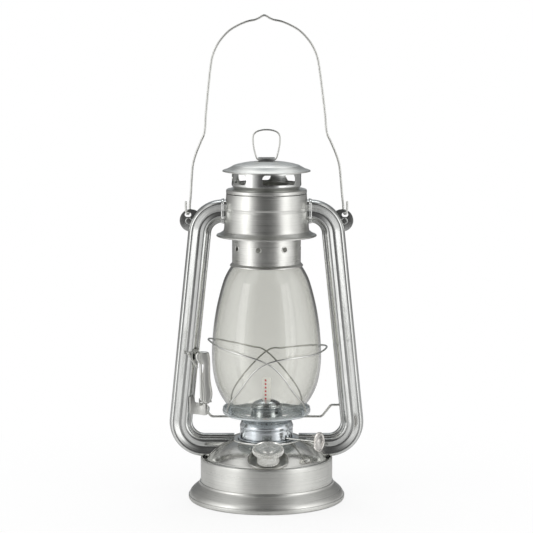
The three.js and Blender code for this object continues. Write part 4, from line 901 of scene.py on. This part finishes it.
def upright(side, x, z, lean=0.0):
    """A place for a flat piece: (a, b, c) goes to (side * (a + x), c + lean * b, b + z)."""
    return lambda p: np.stack([side * (p[..., 0] + x), p[..., 2] + lean * p[..., 1], p[..., 1] + z], axis=-1)


for name, side in (("left", -1), ("right", 1)):
    disc = plate(f"{name}_ear_disc", ring_section(EAR_R, 72), -0.5, 0.5,
                 upright(side, EAR_X, EAR_Z, EAR_LEAN), bevel=0.2)
    holes = [plate("tool", ring_section(EAR_HOLE_R, 40), -5, 5, upright(side, x, EAR_HOLE_Z))
             for x in EAR_HOLE_XS]
    cut(disc, *holes, crease=30)
    t = even_turns(72)
    ring_at = np.stack([EYELET_R * np.cos(t), 0 * t, EYELET_R * np.sin(t)], axis=1) + EYELET_AT
    eyelet = carried(np.concatenate([ring_at, ring_at[:2]]), ring_section(0.5, 12), (0, 1, 0))[:-2]
    ear = merged(f"{name}_ear", [disc, surface("eyelet", eyelet * [side, 1, 1])])
    belongs(ear, "frame", "bright_tin", f"{name}_bail_ear")

# %% [markdown]
# ## Bail
# The bail is one length of wire. Each end passes through its ear as a small hook and turns back up
# beside itself. The legs bend outwards, narrow at a soft elbow and close in an arch with a notch at the
# top for a hook. Arcs and straight lines could build it, but hand-bent wire has neither, so a smooth
# curve goes through listed spots of one half, and the other half mirrors them.

# %% The bail's wire
EYE_X, BAIL_EYE_Z, BAIL_EYE_R = 65.0, 242.3, 2.8
BAIL_TILT, TILT_FROM = 0.012, 250
leg = [(62.3, 258.3), (61.5, 269.5), (60.3, 280.5), (57.5, 290.0), (53.5, 299.5), (50.3, 307.4),
       (49.1, 321.5), (47.8, 334.0), (46.2, 348.0), (44.8, 359.0), (43.1, 368.6), (39.8, 377.0),
       (35.1, 384.0), (28.8, 390.4), (21.8, 394.7), (14.0, 398.0), (8.2, 399.2), (4.6, 400.6), (0, 402.9)]
eye_line = [(EYE_X + 1.4 * math.cos(a), -BAIL_EYE_R * math.cos(a), BAIL_EYE_Z - BAIL_EYE_R * math.sin(a))
            for a in np.linspace(0, math.pi, 9)]
half = np.array([(66.6, -2.0, 249.6), (66.6, -2.6, 246.0), *eye_line, (63.5, 2.4, 246.0), (63.2, 0.9, 249.0),
                 *((x, 0.0, z) for x, z in leg)])
whole = np.concatenate([half[:-1], half[::-1] * [-1, 1, 1]])
# The bail leans slightly to the left, more the higher it is.
whole[:, 0] -= BAIL_TILT * np.maximum(whole[:, 2] - TILT_FROM, 0)
belongs(wire("carrying_bail", curve(whole, 700), 0.9, side=(0, 1, 0)), "bail", "steel_wire", "bail")

# %% [markdown]
# ## Lift lever
# The lever is a spoon-shaped channel pressed from tin. It turns on a pin in a bent bracket on the left
# tube and locks on a wire catch. It could be cut from a block, but its wall is thin everywhere, so its
# two edges are drawn once, one pressed section is stretched between them, and a wall follows it inside.

# %% The lever
LEVER_AT, LEVER_TALL, LEVER_DEEP = np.array([-51, -12.1, 82.4]), 43, 2.5
lever_z = np.concatenate([
    np.linspace(0, 3, 14), np.linspace(3, 40, 60)[1:], np.linspace(40, LEVER_TALL, 14)[1:],
])
left_edge = curve([(0.2, 0.0), (-1.6, 0.6), (-3.4, 3.2), (-4.2, 7.5), (-4.3, 20), (-4.5, 30), (-5.0, 33.5),
                   (-7.2, 36.6), (-7.7, 40.2), (-6.0, 42.4), (-3.0, LEVER_TALL)], 200)
right_edge = curve([(0.8, 0.0), (2.6, 0.5), (4.6, 2.8), (5.9, 6.4), (5.9, 10.5), (4.9, 16.0), (4.3, 22.0),
                    (4.2, 34.0), (3.6, 40.0), (2.2, 42.4), (-2.6, LEVER_TALL)], 200)
from_x, to_x = (np.interp(lever_z, edge[:, 1], edge[:, 0])[:, None] for edge in (left_edge, right_edge))
# The channel's section: shares of the width across, and the depth, with a groove beside the left ridge.
skin = curve([(0, LEVER_DEEP), (0, 0.4), (0, -1.0), (0.04, -1.9), (0.14, -2.4), (0.24, -2.3), (0.33, -1.8),
              (0.42, -2.05), (0.56, -2.3), (0.7, -2.35), (0.84, -2.2), (0.96, -1.6), (1.0, -0.6), (1.0, 0.6),
              (1.0, LEVER_DEEP)], 90)
end_share = np.clip(np.minimum(lever_z / 2.2, (LEVER_TALL - lever_z) / 0.9), 0.02, 1)[:, None]
depth = LEVER_DEEP - (LEVER_DEEP - skin[None, :, 1]) * np.sqrt(1 - (1 - end_share) ** 2)
wall = np.minimum(SHEET, (to_x - from_x) / 3)
sides = []
for inset, deep in ((0 * wall, depth), (wall, np.minimum(depth + SHEET, LEVER_DEEP))):
    across = from_x + inset + (to_x - from_x - 2 * inset) * skin[None, :, 0]
    sides.append(np.stack(np.broadcast_arrays(across, deep, lever_z[:, None]), axis=-1))
lever_skin = np.concatenate([sides[0], sides[1][:, ::-1]], axis=1) * [1, 1, 1.03] + LEVER_AT - [0, 0, 0.6]
lever = surface("spoon_lever", lever_skin, ends=True, crease=44)
gap_line = bent([(-2.6, 33.2, 0), (-2.6, 33.4, 0.2), (-1.2, 33.4, 0.4), (-1.6, 28.0, 1.0), (-2.1, 24.0, 0.2),
                 (-2.6, 33.2, 0)])
light_gap = plate("tool", gap_line[:-1], -5, 5, lambda p: p[..., [0, 2, 1]] + LEVER_AT)
belongs(cut(lever, light_gap, crease=44), "lever", "satin_tin", "lift_lever")

# %% Its pin, bracket and catch
pin_line = bent([(0, -4.8, 0), (0.9, -4.8, 0.3), (0.9, 5.4, 0.3), (0, 5.4, 0)])
pin = placed(spun("lever_rivet", pin_line, 32), lambda p: p[..., [2, 0, 1]] + [-51, -11.6, 84.2])
belongs(pin, "frame", "steel_wire", "lever_pin")
# The bracket's strip lies on the tube and its arm slants forward to the lever, so the plate is bent in plan.
BRACKET_WALL = 0.8
plan = curve([(-64.0, -7.6), (-63.4, -8.0), (-61.5, -8.2), (-59.5, -8.5), (-56, -9.5), (-52.5, -10.9),
              (-49.8, -11.8), (-48.3, -11.2), (-47.7, -9.8)], 90)
top = np.interp(plan[:, 0], [-64.0, -63.7, -60.4, -59.9, -59.5, -58.9, -50.5, -49.0, -47.7],
                [86.6, 87.2, 87.2, 86.8, 83.2, 82.8, 82.2, 81.4, 79.0])[:, None]
foot_z = np.interp(plan[:, 0], [-64.0, -63.6, -51.5, -49.4, -48.3, -47.7],
                   [73.6, 73.1, 72.3, 73.0, 74.6, 76.6])[:, None]
# Its section, as shares of the height and of the wall, with the corners taken off.
section_shares = [(0, -0.4), (0.02, -0.5), (0.98, -0.5), (1, -0.4)]
section_shares += [(up, -out) for up, out in section_shares[::-1]]
up, out = np.array(section_shares).T
heading = unit(np.gradient(plan, axis=0))
strip_x = plan[:, :1] - heading[:, 1:] * out * BRACKET_WALL
strip_y = plan[:, 1:] + heading[:, :1] * out * BRACKET_WALL
strip_points = np.stack([strip_x, strip_y, foot_z + (top - foot_z) * up], axis=-1)
strip = surface("strip", strip_points, ends=True, crease=40)
tab_line = bent([(-8.9, 80.4, 0), (-13.6, 80.4, 1.8), (-13.6, 86.2, 1.8), (-8.9, 86.2, 0.1), (-8.9, 83, 0)])
tab = plate("tab", tab_line, -56.2, -55.2, lambda p: p[..., [2, 0, 1]], bevel=0.15)
belongs(merged("lever_mount", [strip, tab]), "frame", "satin_tin", "lever_bracket")
catch_path = evenly(bent([(-57.4, -8.4, 126.6, 0), (-65.6, -8.4, 124.4, 0.9), (-57.6, -8.9, 112.2, 0)]), 80)
belongs(wire("catch_hook", catch_path, 0.85, side=(0, 1, 0)), "frame", "steel_wire", "lever_catch")

# %% [markdown]
# ## Finishes
# The whole lantern is bare tinned or zinc-plated steel, so what the eye reads is not its colour but how
# each sheet was worked: the spun parts carry fine rings round the axis, the tubes carry streaks along
# their length, and the plated burner is a little bluer and cloudier. Pictures could hold such patterns,
# but short chains of nodes keep their scale in millimetres. One small function adds a shader node.


# %% A shader node, and colours from hex values
def linear(hex_colour):
    """An sRGB hex colour as linear RGBA: c/12.92 below 0.04045, else ((c + 0.055) / 1.055) ** 2.4."""
    c = np.array([int(hex_colour[i : i + 2], 16) / 255 for i in (1, 3, 5)])
    rgb = np.where(c <= 0.04045, c / 12.92, ((c + 0.055) / 1.055) ** 2.4)
    return (*rgb.tolist(), 1.0)


def connect(tree, node, inputs):
    """Gives a node its inputs by name or index: a socket is linked, a value is set."""
    for key, value in inputs.items():
        if isinstance(value, bpy.types.NodeSocket):
            tree.links.new(value, node.inputs[key])
        else:
            node.inputs[key].default_value = value


def add(tree, kind, inputs=None, stops=(), **settings):
    """Adds a node with its inputs and settings. stops are a colour ramp's, as (place, hex or grey)."""
    made = tree.nodes.new(kind)
    for key, value in settings.items():
        setattr(made, key, value)
    connect(tree, made, inputs or {})
    if stops:
        elements = made.color_ramp.elements
        while len(elements) < len(stops):
            elements.new(0.5)
        for element, (place, colour) in zip(elements, stops):
            element.position = place
            element.color = linear(colour) if isinstance(colour, str) else (colour, colour, colour, 1)
    return made


def started(name):
    """A new material with a Principled shader, as (material, tree, shader)."""
    made = bpy.data.materials.new(name)
    made.use_nodes = True
    return made, made.node_tree, made.node_tree.nodes["Principled BSDF"]


print("mid grey is", [round(value, 3) for value in linear("#808080")])

# %% [markdown]
# ## Spun and pressed sheet
# Tinplate is steel with a thin skin of tin, and zinc plate one of zinc. A spinning tool leaves rings
# round the axis, and the plating lies in soft clouds. An anisotropic shader would stretch the lights as
# rings do, but the rings themselves have to show. So a noise is drawn out round the axis, and it shifts
# the colour, the roughness and a low bump.

# %% A recipe for spun sheet
CLOUD_MM = 18.2
ROUND_STRETCH = 0.6


def ring_places(tree, grain_mm):
    """Places for a pattern spun round the axis: (turn * ROUND_STRETCH, radius, height), in grains."""
    spot = add(tree, "ShaderNodeTexCoord").outputs["Object"]
    x, y, z = add(tree, "ShaderNodeSeparateXYZ", {0: spot}).outputs
    turn = add(tree, "ShaderNodeMath", {0: y, 1: x}, operation="ARCTAN2").outputs[0]
    level = add(tree, "ShaderNodeCombineXYZ", {0: x, 1: y, 2: 0.0}).outputs[0]
    radius = add(tree, "ShaderNodeVectorMath", {0: level}, operation="LENGTH").outputs["Value"]
    place = add(tree, "ShaderNodeCombineXYZ", {0: turn, 1: radius, 2: z}).outputs[0]
    scale = (ROUND_STRETCH, 1000 / grain_mm, 1000 / grain_mm)
    return add(tree, "ShaderNodeVectorMath", {0: place, 1: scale}, operation="MULTIPLY").outputs[0]


def spun_sheet(name, dark, light, roughness, grain_mm, bump=0.05, metal=1.0, glossy_above=None):
    """Sheet turned on a lathe: fine rings round the axis, with a slow cloudy change of tone over them.

    Above the height glossy_above, in millimetres, the sheet is half as rough.
    """
    made, tree, shader = started(name)
    rings = {"Vector": ring_places(tree, grain_mm), "Scale": 1.0, "Detail": 3.0, "Roughness": 0.6}
    rings = add(tree, "ShaderNodeTexNoise", rings).outputs["Fac"]
    spot = add(tree, "ShaderNodeTexCoord").outputs["Object"]
    cloud = {"Vector": spot, "Scale": 1000 / CLOUD_MM, "Detail": 4.0}
    cloud = add(tree, "ShaderNodeTexNoise", cloud).outputs["Fac"]
    mixed = add(tree, "ShaderNodeMath", {0: rings, 1: cloud}, operation="MULTIPLY").outputs[0]
    tone = add(tree, "ShaderNodeMapRange", {0: mixed, 1: 0.12, 2: 0.42, 3: 0.0, 4: 1.0}).outputs[0]
    colour = add(tree, "ShaderNodeValToRGB", {0: tone}, stops=[(0.0, dark), (1.0, light)]).outputs[0]
    spread = {1: 0.3, 2: 0.7, 3: roughness - 0.06, 4: roughness + 0.08}
    rough = add(tree, "ShaderNodeMapRange", {0: rings, **spread}).outputs[0]
    if glossy_above is not None:
        height = add(tree, "ShaderNodeSeparateXYZ", {0: spot}).outputs[2]
        edge = {1: glossy_above * MM, 2: (glossy_above + 1) * MM, 3: 1.0, 4: 0.5}
        share = add(tree, "ShaderNodeMapRange", {0: height, **edge}).outputs[0]
        rough = add(tree, "ShaderNodeMath", {0: rough, 1: share}, operation="MULTIPLY").outputs[0]
    raised = add(tree, "ShaderNodeBump", {"Height": rings, "Strength": bump, "Distance": 0.1 * MM}).outputs[0]
    connect(tree, shader, {"Base Color": colour, "Metallic": metal, "Roughness": rough, "Normal": raised})
    return made


print("clouds", CLOUD_MM, "mm wide lie over the rings")

# %% Tinplate, zinc plate and nickel plate
# Tinplate, satin: warm pale grey, its rings about 0.25 mm apart, drawn as 0.35 mm to show.
satin_tin = spun_sheet("satin tinplate", "#C4C4C0", "#DCDCD8", 0.32, 0.35)
# The fount is drawn from the same sheet, and its dome comes out of the press with a glossier skin.
tank_tin = spun_sheet("satin tinplate, glossy dome", "#C4C4C0", "#DCDCD8", 0.32, 0.35, glossy_above=35.2)
# Zinc plate with a blue passivation: cooler, with a cloudier face.
zinc_plate = spun_sheet("blue zinc plate", "#BEC4C8", "#E0E4E7", 0.18, 0.5)
# The globe plate's zinc is duller: its passivation scatters part of the light.
dull_zinc = spun_sheet("dull blue zinc plate", "#B4BABC", "#E4E8E9", 0.26, 1.2, metal=0.6)
# Nickel plate: warm and bright, over knurled brass or zinc.
nickel_plate = spun_sheet("warm nickel plate", "#CFCCC8", "#E8E5E1", 0.2, 0.6, bump=0.06)
print("spun finishes: satin and glossy tinplate, two zinc plates, nickel plate")

# %% [markdown]
# ## Cast, drawn and moulded parts
# The filler cap is cast and tumbled, the wires are drawn through a die, and the gasket is moulded
# rubber. None has a direction that shows, so one recipe serves all three: a fine speckle, even on all
# sides, in the colour and the roughness. A plain colour would do from afar, but looks like plastic near.


# %% A recipe with a speckle, and its three finishes
def speckled(name, grain_mm, stops, metal, rough, bump=0.0):
    """A surface with a fine even grain. rough is the roughness in the grain's low and high spots."""
    made, tree, shader = started(name)
    spot = add(tree, "ShaderNodeTexCoord").outputs["Object"]
    speck = {"Vector": spot, "Scale": 1000 / grain_mm, "Detail": 2.0}
    speck = add(tree, "ShaderNodeTexNoise", speck).outputs["Fac"]
    colour = add(tree, "ShaderNodeValToRGB", {0: speck}, stops=stops).outputs[0]
    spread = add(tree, "ShaderNodeMapRange", {0: speck, 1: 0.3, 2: 0.7, 3: rough[0], 4: rough[1]}).outputs[0]
    connect(tree, shader, {"Base Color": colour, "Metallic": metal, "Roughness": spread})
    if bump:
        lift = add(tree, "ShaderNodeBump", {"Height": speck, "Strength": bump, "Distance": 0.2 * MM})
        connect(tree, shader, {"Normal": lift.outputs[0]})
    return made


# The cap is a neutral silver, and tumbling has left soft spots about 1 mm wide.
cast_silver = speckled(
    "plated zinc casting", 1.11, [(0.35, "#D6D6D1"), (0.6, "#F4F4F0")], 0.75, (0.26, 0.26), bump=0.2)
# Galvanised steel wire has faint scratches from the die and a soft bright skin.
steel_wire = speckled("drawn galvanised wire", 0.4, [(0.3, "#D0D0CC"), (0.7, "#E0E0DC")], 1.0, (0.16, 0.28))
# Rubber is near black and matt, with a fine moulded grain.
rubber = speckled("black rubber washer", 0.667, [(0.3, "#1C1C1B"), (0.7, "#2E2D2B")], 0.0, (0.75, 0.75))
print("speckled finishes: cast zinc, drawn wire, rubber")

# %% [markdown]
# ## Drawn tinplate
# The tubes are bright tinplate, a mirror skin over the sheet's rolling streaks. The streaks run along
# each tube and round its bends, so they can't follow the object's own axes: they read the UV map that
# was made with the tube, which holds millimetres.

# %% Bright tinplate
STREAK_WIDE_MM, STREAK_LONG_MM, CLOUDY_MM = 0.625, 33.3, 11.1
bright_tin, tree, shader = started("bright drawn tinplate")
flow = add(tree, "ShaderNodeUVMap", uv_map="flow").outputs[0]
streak_scale = (1 / STREAK_WIDE_MM, 1 / STREAK_LONG_MM, 1.0)
streak_at = add(tree, "ShaderNodeMapping", {0: flow, 3: streak_scale}).outputs[0]
streaks = add(tree, "ShaderNodeTexNoise", {"Vector": streak_at, "Scale": 1.0, "Detail": 4.0}).outputs["Fac"]
spot = add(tree, "ShaderNodeTexCoord").outputs["Object"]
cloud = {"Vector": spot, "Scale": 1000 / CLOUDY_MM, "Detail": 3.0}
cloud = add(tree, "ShaderNodeTexNoise", cloud).outputs["Fac"]
tone = add(tree, "ShaderNodeMapRange", {0: streaks, 1: 0.3, 2: 0.7}).outputs[0]
colour = add(tree, "ShaderNodeValToRGB", {0: tone}, stops=[(0.0, "#BDBEBC"), (1.0, "#DADBD9")]).outputs[0]
rough = add(tree, "ShaderNodeMapRange", {0: cloud, 1: 0.3, 2: 0.7, 3: 0.12, 4: 0.22}).outputs[0]
lift = add(tree, "ShaderNodeBump", {"Height": streaks, "Strength": 0.12, "Distance": 0.08 * MM}).outputs[0]
connect(tree, shader, {"Base Color": colour, "Metallic": 1.0, "Roughness": rough, "Normal": lift})
print("streaks:", STREAK_WIDE_MM, "mm wide and", STREAK_LONG_MM, "mm long")

# %% [markdown]
# ## Glass
# The globe is blown soda-lime glass, clear with a faint grey and faintly wavy. Glass that only refracts
# would throw a dark shadow on the wick and the wires inside, which a thin wall does not do. So light
# that lands on rough things, and shadow rays, go through a nearly clear wall instead.

# %% Blown soda-lime glass
WAVE_MM = 33.3
glass_finish, tree, shader = started("blown soda-lime glass")
spot = add(tree, "ShaderNodeTexCoord").outputs["Object"]
wave = {"Vector": spot, "Scale": 1000 / WAVE_MM, "Detail": 1.0}
wave = add(tree, "ShaderNodeTexNoise", wave).outputs["Fac"]
lift = add(tree, "ShaderNodeBump", {"Height": wave, "Strength": 0.05, "Distance": 0.5 * MM}).outputs[0]
glass_look = {"Base Color": linear("#ECECE8"), "Transmission Weight": 1.0, "Roughness": 0.0, "IOR": 1.5}
connect(tree, shader, {**glass_look, "Normal": lift})
clear = add(tree, "ShaderNodeBsdfTransparent", {0: linear("#FAFBFB")})
rays = add(tree, "ShaderNodeLightPath").outputs
soft = add(tree, "ShaderNodeMath", {0: rays["Is Shadow Ray"], 1: rays["Is Diffuse Ray"]}, operation="MAXIMUM")
mixed = add(tree, "ShaderNodeMixShader", {0: soft.outputs[0], 1: shader.outputs[0], 2: clear.outputs[0]})
connect(tree, tree.nodes["Material Output"], {"Surface": mixed.outputs[0]})
print("glass waves:", WAVE_MM, "mm apart")

# %% [markdown]
# ## Cotton
# The wick is woven cotton tape, cream, with a red marker thread that shows how much is left. A weave
# could be modelled thread by thread, but it is finer than the picture shows. Two sine waves, one across
# and one along the tape, give the threads, and a third breaks the marker thread into stitches.

# %% Woven cotton
THREAD_MM, ROW_MM, STITCH_MM, MARKER_X = 0.6, 0.8, 3.1, -0.3
cotton, tree, shader = started("woven cotton wick")
spot = add(tree, "ShaderNodeTexCoord").outputs["Object"]
own = add(tree, "ShaderNodeMapping", {0: spot, 2: (0, 0, -DRIVE_TURN), 3: (1000, 1000, 1000)}).outputs[0]
across, _, up = add(tree, "ShaderNodeSeparateXYZ", {0: own}).outputs
waves = []
for place, apart in ((across, THREAD_MM), (up, ROW_MM), (up, STITCH_MM)):
    turn = add(tree, "ShaderNodeMath", {0: place, 1: 2 * math.pi / apart}, operation="MULTIPLY").outputs[0]
    waves.append(add(tree, "ShaderNodeMath", {0: turn}, operation="SINE").outputs[0])
weave = add(tree, "ShaderNodeMath", {0: waves[0], 1: waves[1]}, operation="MULTIPLY").outputs[0]
near = add(tree, "ShaderNodeMath", {0: across, 1: -MARKER_X}, operation="ADD").outputs[0]
near = add(tree, "ShaderNodeMath", {0: near}, operation="ABSOLUTE").outputs[0]
on_line = add(tree, "ShaderNodeMapRange", {0: near, 1: 0.7, 2: 0.95, 3: 1.0, 4: 0.0}).outputs[0]
on_stitch = add(tree, "ShaderNodeMapRange", {0: waves[2], 1: -0.2, 2: 0.1}).outputs[0]
marked = add(tree, "ShaderNodeMath", {0: on_line, 1: on_stitch}, operation="MULTIPLY").outputs[0]
thread = add(tree, "ShaderNodeMapRange", {0: weave, 1: -1.0, 2: 1.0}).outputs[0]
cream = add(tree, "ShaderNodeValToRGB", {0: thread}, stops=[(0.0, "#F8F1E6"), (1.0, "#FFFDF8")]).outputs[0]
red = add(tree, "ShaderNodeMix", {"Factor": marked, "A": cream, "B": linear("#CC1826")}, data_type="RGBA")
lift = add(tree, "ShaderNodeBump", {"Height": weave, "Strength": 0.25, "Distance": 0.2 * MM}).outputs[0]
cotton_look = {"Base Color": red.outputs["Result"], "Roughness": 0.9, "Sheen Weight": 0.3}
connect(tree, shader, {**cotton_look, "Normal": lift})
print("threads:", THREAD_MM, "mm apart, rows", ROW_MM, "mm, stitches", STITCH_MM, "mm")

# %% Every piece gets its finish
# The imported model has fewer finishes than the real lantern, so three pieces get one of their own.
finishes = {
    "satin_tin": satin_tin, "bright_tin": bright_tin, "zinc_plate": zinc_plate, "nickel_plate": nickel_plate,
    "steel_wire": steel_wire, "glass": glass_finish, "cotton": cotton, "rubber": rubber,
}
own_finishes = {"fount_body": tank_tin, "filler_cap_knurled": cast_silver, "perforated_plate": dull_zinc}
slot_of = {row["node"]: row["material_slot"] for row in frame["record"]["subparts"]}
dressed = [(piece, finishes[slot_of[node_name]]) for node_name, piece in frame["nodes"].items()]
for piece in bpy.context.scene.objects:
    if piece.type == "MESH" and "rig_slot" in piece:
        dressed.append((piece, own_finishes.get(piece.name, finishes[piece["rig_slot"]])))
for piece, finish in dressed:
    piece.data.materials.clear()
    piece.data.materials.append(finish)
print("finishes:", ", ".join(finishes))

# %% [markdown]
# ## Floor, light and camera
# The photograph is a catalogue shot on white: two tall soft boxes in front, left and right, and a white
# ground behind. Bright metal shows what is round it, so the world is white behind the lantern and
# greyer in front, and the two boxes give the bright edges of the tubes and the lines on the glass. Real
# cards and walls could stand round the lantern. A world worked out from the direction alone mirrors
# the same and is quicker to adjust.

# %% World: what the metal mirrors
world = bpy.data.worlds.new("white studio")
bpy.context.scene.world = world
world.use_nodes = True
tree = world.node_tree
tree.nodes.clear()
direction = add(tree, "ShaderNodeTexCoord").outputs["Generated"]
x, y, z = add(tree, "ShaderNodeSeparateXYZ", {0: direction}).outputs
level = add(tree, "ShaderNodeCombineXYZ", {0: x, 1: y, 2: 0.0}).outputs[0]
level = add(tree, "ShaderNodeVectorMath", {0: level}, operation="NORMALIZE").outputs[0]
ahead = add(tree, "ShaderNodeSeparateXYZ", {0: level}).outputs[1]
round_view = add(tree, "ShaderNodeMapRange", {0: ahead, 1: 1.0, 2: -1.0}).outputs[0]
# Across a round upright part, a place s of the way out from its middle mirrors stop 1 - s * s. So the
# middle mirrors the dark room behind the camera, and both sides mirror the soft boxes. Greys are halved.
room = add(tree, "ShaderNodeValToRGB", {0: round_view}, stops=[
    (0.0, 0.04), (0.06, 0.08), (0.1, 0.18), (0.2, 0.16), (0.33, 0.25), (0.46, 0.45), (0.6, 0.66), (0.75, 0.7),
    (0.84, 0.56), (0.9, 0.3), (0.955, 0.08), (1.0, 0.04),
]).outputs[0]
# High up, the middle is dark and the two sides catch the tops of the boxes.
aside = add(tree, "ShaderNodeMath", {0: x}, operation="ABSOLUTE").outputs[0]
ceiling = add(tree, "ShaderNodeValToRGB", {0: aside}, stops=[
    (0.0, 0.05), (0.14, 0.07), (0.3, 0.2), (0.42, 0.5), (0.53, 0.5), (0.68, 0.2), (0.85, 0.15),
]).outputs[0]
rise = add(tree, "ShaderNodeMapRange", {0: z, 1: 0.55, 2: 0.85}).outputs[0]
around = add(tree, "ShaderNodeMix", {"Factor": rise, "A": room, "B": ceiling}, data_type="RGBA")
around = around.outputs["Result"]
# A big white sheet leans over the lantern from behind, brightest about 60 degrees up.
sheet = add(tree, "ShaderNodeValToRGB", {0: z}, stops=[
    (0.03, 0.0), (0.1, 0.32), (0.25, 0.36), (0.45, 0.42), (0.75, 0.8), (0.92, 0.86), (0.97, 0.2), (1.0, 0.0),
]).outputs[0]
middle = add(tree, "ShaderNodeMapRange", {0: aside, 1: 0.12, 2: 0.45, 3: 1.0, 4: 0.0}).outputs[0]
behind = add(tree, "ShaderNodeMapRange", {0: y, 1: 0.1, 2: 0.3}).outputs[0]
middle = add(tree, "ShaderNodeMath", {0: middle, 1: behind}, operation="MULTIPLY").outputs[0]
sheet = add(tree, "ShaderNodeMath", {0: sheet, 1: middle}, operation="MULTIPLY").outputs[0]
SHEET_LIGHT = (0.39, 0.42, 0.445, 1)
around = add(tree, "ShaderNodeMix", {"Factor": sheet, "A": around, "B": SHEET_LIGHT}, data_type="RGBA")
studio = add(tree, "ShaderNodeBackground", {0: around.outputs["Result"], 1: 2.0})
print("world:", len(tree.nodes), "nodes for what the metal mirrors")

# %% World: what the camera and the glass see
white = add(tree, "ShaderNodeBackground", {0: (1, 1, 1, 1), 1: 1.0})
rays = add(tree, "ShaderNodeLightPath").outputs
plain = {0: rays["Is Camera Ray"], 1: rays["Is Diffuse Ray"]}
plain = add(tree, "ShaderNodeMath", plain, operation="MAXIMUM").outputs[0]
shown = add(tree, "ShaderNodeMixShader", {0: plain, 1: studio.outputs[0], 2: white.outputs[0]})
# Through the glass the ground behind is white, and what the glass bends aside is grey. Light that a
# piece inside the globe mirrors or scatters comes from the studio and from the white room.
straight = add(tree, "ShaderNodeMapRange", {0: y, 1: 0.5, 2: 0.9, 3: 0.36, 4: 0.76}).outputs[0]
scattered = add(tree, "ShaderNodeMath", {0: rays["Diffuse Depth"], 1: 1.1}, operation="MULTIPLY").outputs[0]
straight = add(tree, "ShaderNodeMath", {0: straight, 1: scattered}, operation="MAXIMUM").outputs[0]
bent_light = add(tree, "ShaderNodeBackground", {0: (1, 1, 1, 1), 1: straight})
seen = add(tree, "ShaderNodeMath", {0: rays["Glossy Depth"], 1: 0.5}, operation="LESS_THAN").outputs[0]
seen = add(tree, "ShaderNodeMath", {0: seen, 1: rays["Is Transmission Ray"]}, operation="MULTIPLY").outputs[0]
shown = add(tree, "ShaderNodeMixShader", {0: seen, 1: shown.outputs[0], 2: bent_light.outputs[0]})
add(tree, "ShaderNodeOutputWorld", {0: shown.outputs[0]})
print("world:", len(tree.nodes), "nodes in all")

# %% Lamps
LIT_SPOT = (0, 0, 200)


def soft_box(name, place, width, height, watts):
    """A rectangular lamp at a place in millimetres, turned to face the lantern's middle."""
    lamp = bpy.data.lights.new(name, "AREA")
    lamp.shape, lamp.size, lamp.size_y, lamp.energy = "RECTANGLE", width * MM, height * MM, watts
    made = in_scene(name, lamp)
    spot, target = np.array(place) * MM, np.array(LIT_SPOT) * MM
    made.location = spot
    made.rotation_euler = Vector((target - spot).tolist()).to_track_quat("-Z", "Y").to_euler()
    print(f"{name}: {width} by {height} mm, {watts} W")


soft_box("left box", (-1290, -800, 380), 560, 1300, 2.6)
soft_box("right box", (1220, -920, 380), 660, 1300, 2.2)
soft_box("top box", (0, 900, 1250), 800, 500, 2.0)

# %% Floor
floor_mesh = bpy.data.meshes.new("floor")
floor_mesh.from_pydata([(-6, -4, 0), (6, -4, 0), (6, 8, 0), (-6, 8, 0)], [], [(0, 1, 2, 3)])
floor = in_scene("floor", floor_mesh)
floor_finish, tree, shader = started("white floor")
connect(tree, shader, {"Base Color": linear("#F4F4F4"), "Roughness": 0.6})
glow = add(tree, "ShaderNodeEmission", {0: (1, 1, 1, 1), 1: 1.0})
rays = add(tree, "ShaderNodeLightPath").outputs
direct = {0: rays["Is Camera Ray"], 1: rays["Is Transmission Ray"]}
direct = add(tree, "ShaderNodeMath", direct, operation="MAXIMUM").outputs[0]
# The camera sees the floor's own white glow, with a little of its shading near the foot for the shadow.
spot = add(tree, "ShaderNodeTexCoord").outputs["Object"]
away = add(tree, "ShaderNodeVectorMath", {0: spot}, operation="LENGTH").outputs["Value"]
fade = add(tree, "ShaderNodeMapRange", {0: away, 1: 0.07, 2: 0.35, 3: 0.8, 4: 1.0}).outputs[0]
share = add(tree, "ShaderNodeMath", {0: direct, 1: fade}, operation="MULTIPLY").outputs[0]
mixed = add(tree, "ShaderNodeMixShader", {0: share, 1: shader.outputs[0], 2: glow.outputs[0]})
# Mirrored rays see the soft boxes through the floor, as if it were glossy card, and far off it is dark.
half_way = add(tree, "ShaderNodeMath", {0: away, 1: 0.5}, operation="MULTIPLY").outputs[0]
glossy = add(tree, "ShaderNodeValToRGB", {0: half_way}, stops=[
    (0.07, 0.35), (0.11, 0.6), (0.3, 0.5), (0.5, 0.7), (1.0, 0.97),
]).outputs[0]
through = add(tree, "ShaderNodeMath", {0: rays["Is Glossy Ray"], 1: glossy}, operation="MULTIPLY").outputs[0]
clear = add(tree, "ShaderNodeBsdfTransparent", {0: (1, 1, 1, 1)})
mixed = add(tree, "ShaderNodeMixShader", {0: through, 1: mixed.outputs[0], 2: clear.outputs[0]})
connect(tree, tree.nodes["Material Output"], {"Surface": mixed.outputs[0]})
floor_mesh.materials.append(floor_finish)
print("floor:", len(tree.nodes), "nodes")

# %% Camera
# It stands 1.8 m away and looks down a little, as the photograph's camera does.
LENS, SENSOR, CAMERA_AT, LOOKS_DOWN = 147.65, 36, (0, -1.8, 0.425), 7.26
lens = bpy.data.cameras.new("camera")
lens.lens, lens.sensor_width = LENS, SENSOR
camera = in_scene("camera", lens)
camera.location = CAMERA_AT
camera.rotation_euler = (math.radians(90 - LOOKS_DOWN), 0, 0)
bpy.context.scene.camera = camera
bpy.context.scene.view_settings.view_transform = "Standard"
print("camera:", LENS, "mm lens at", CAMERA_AT)
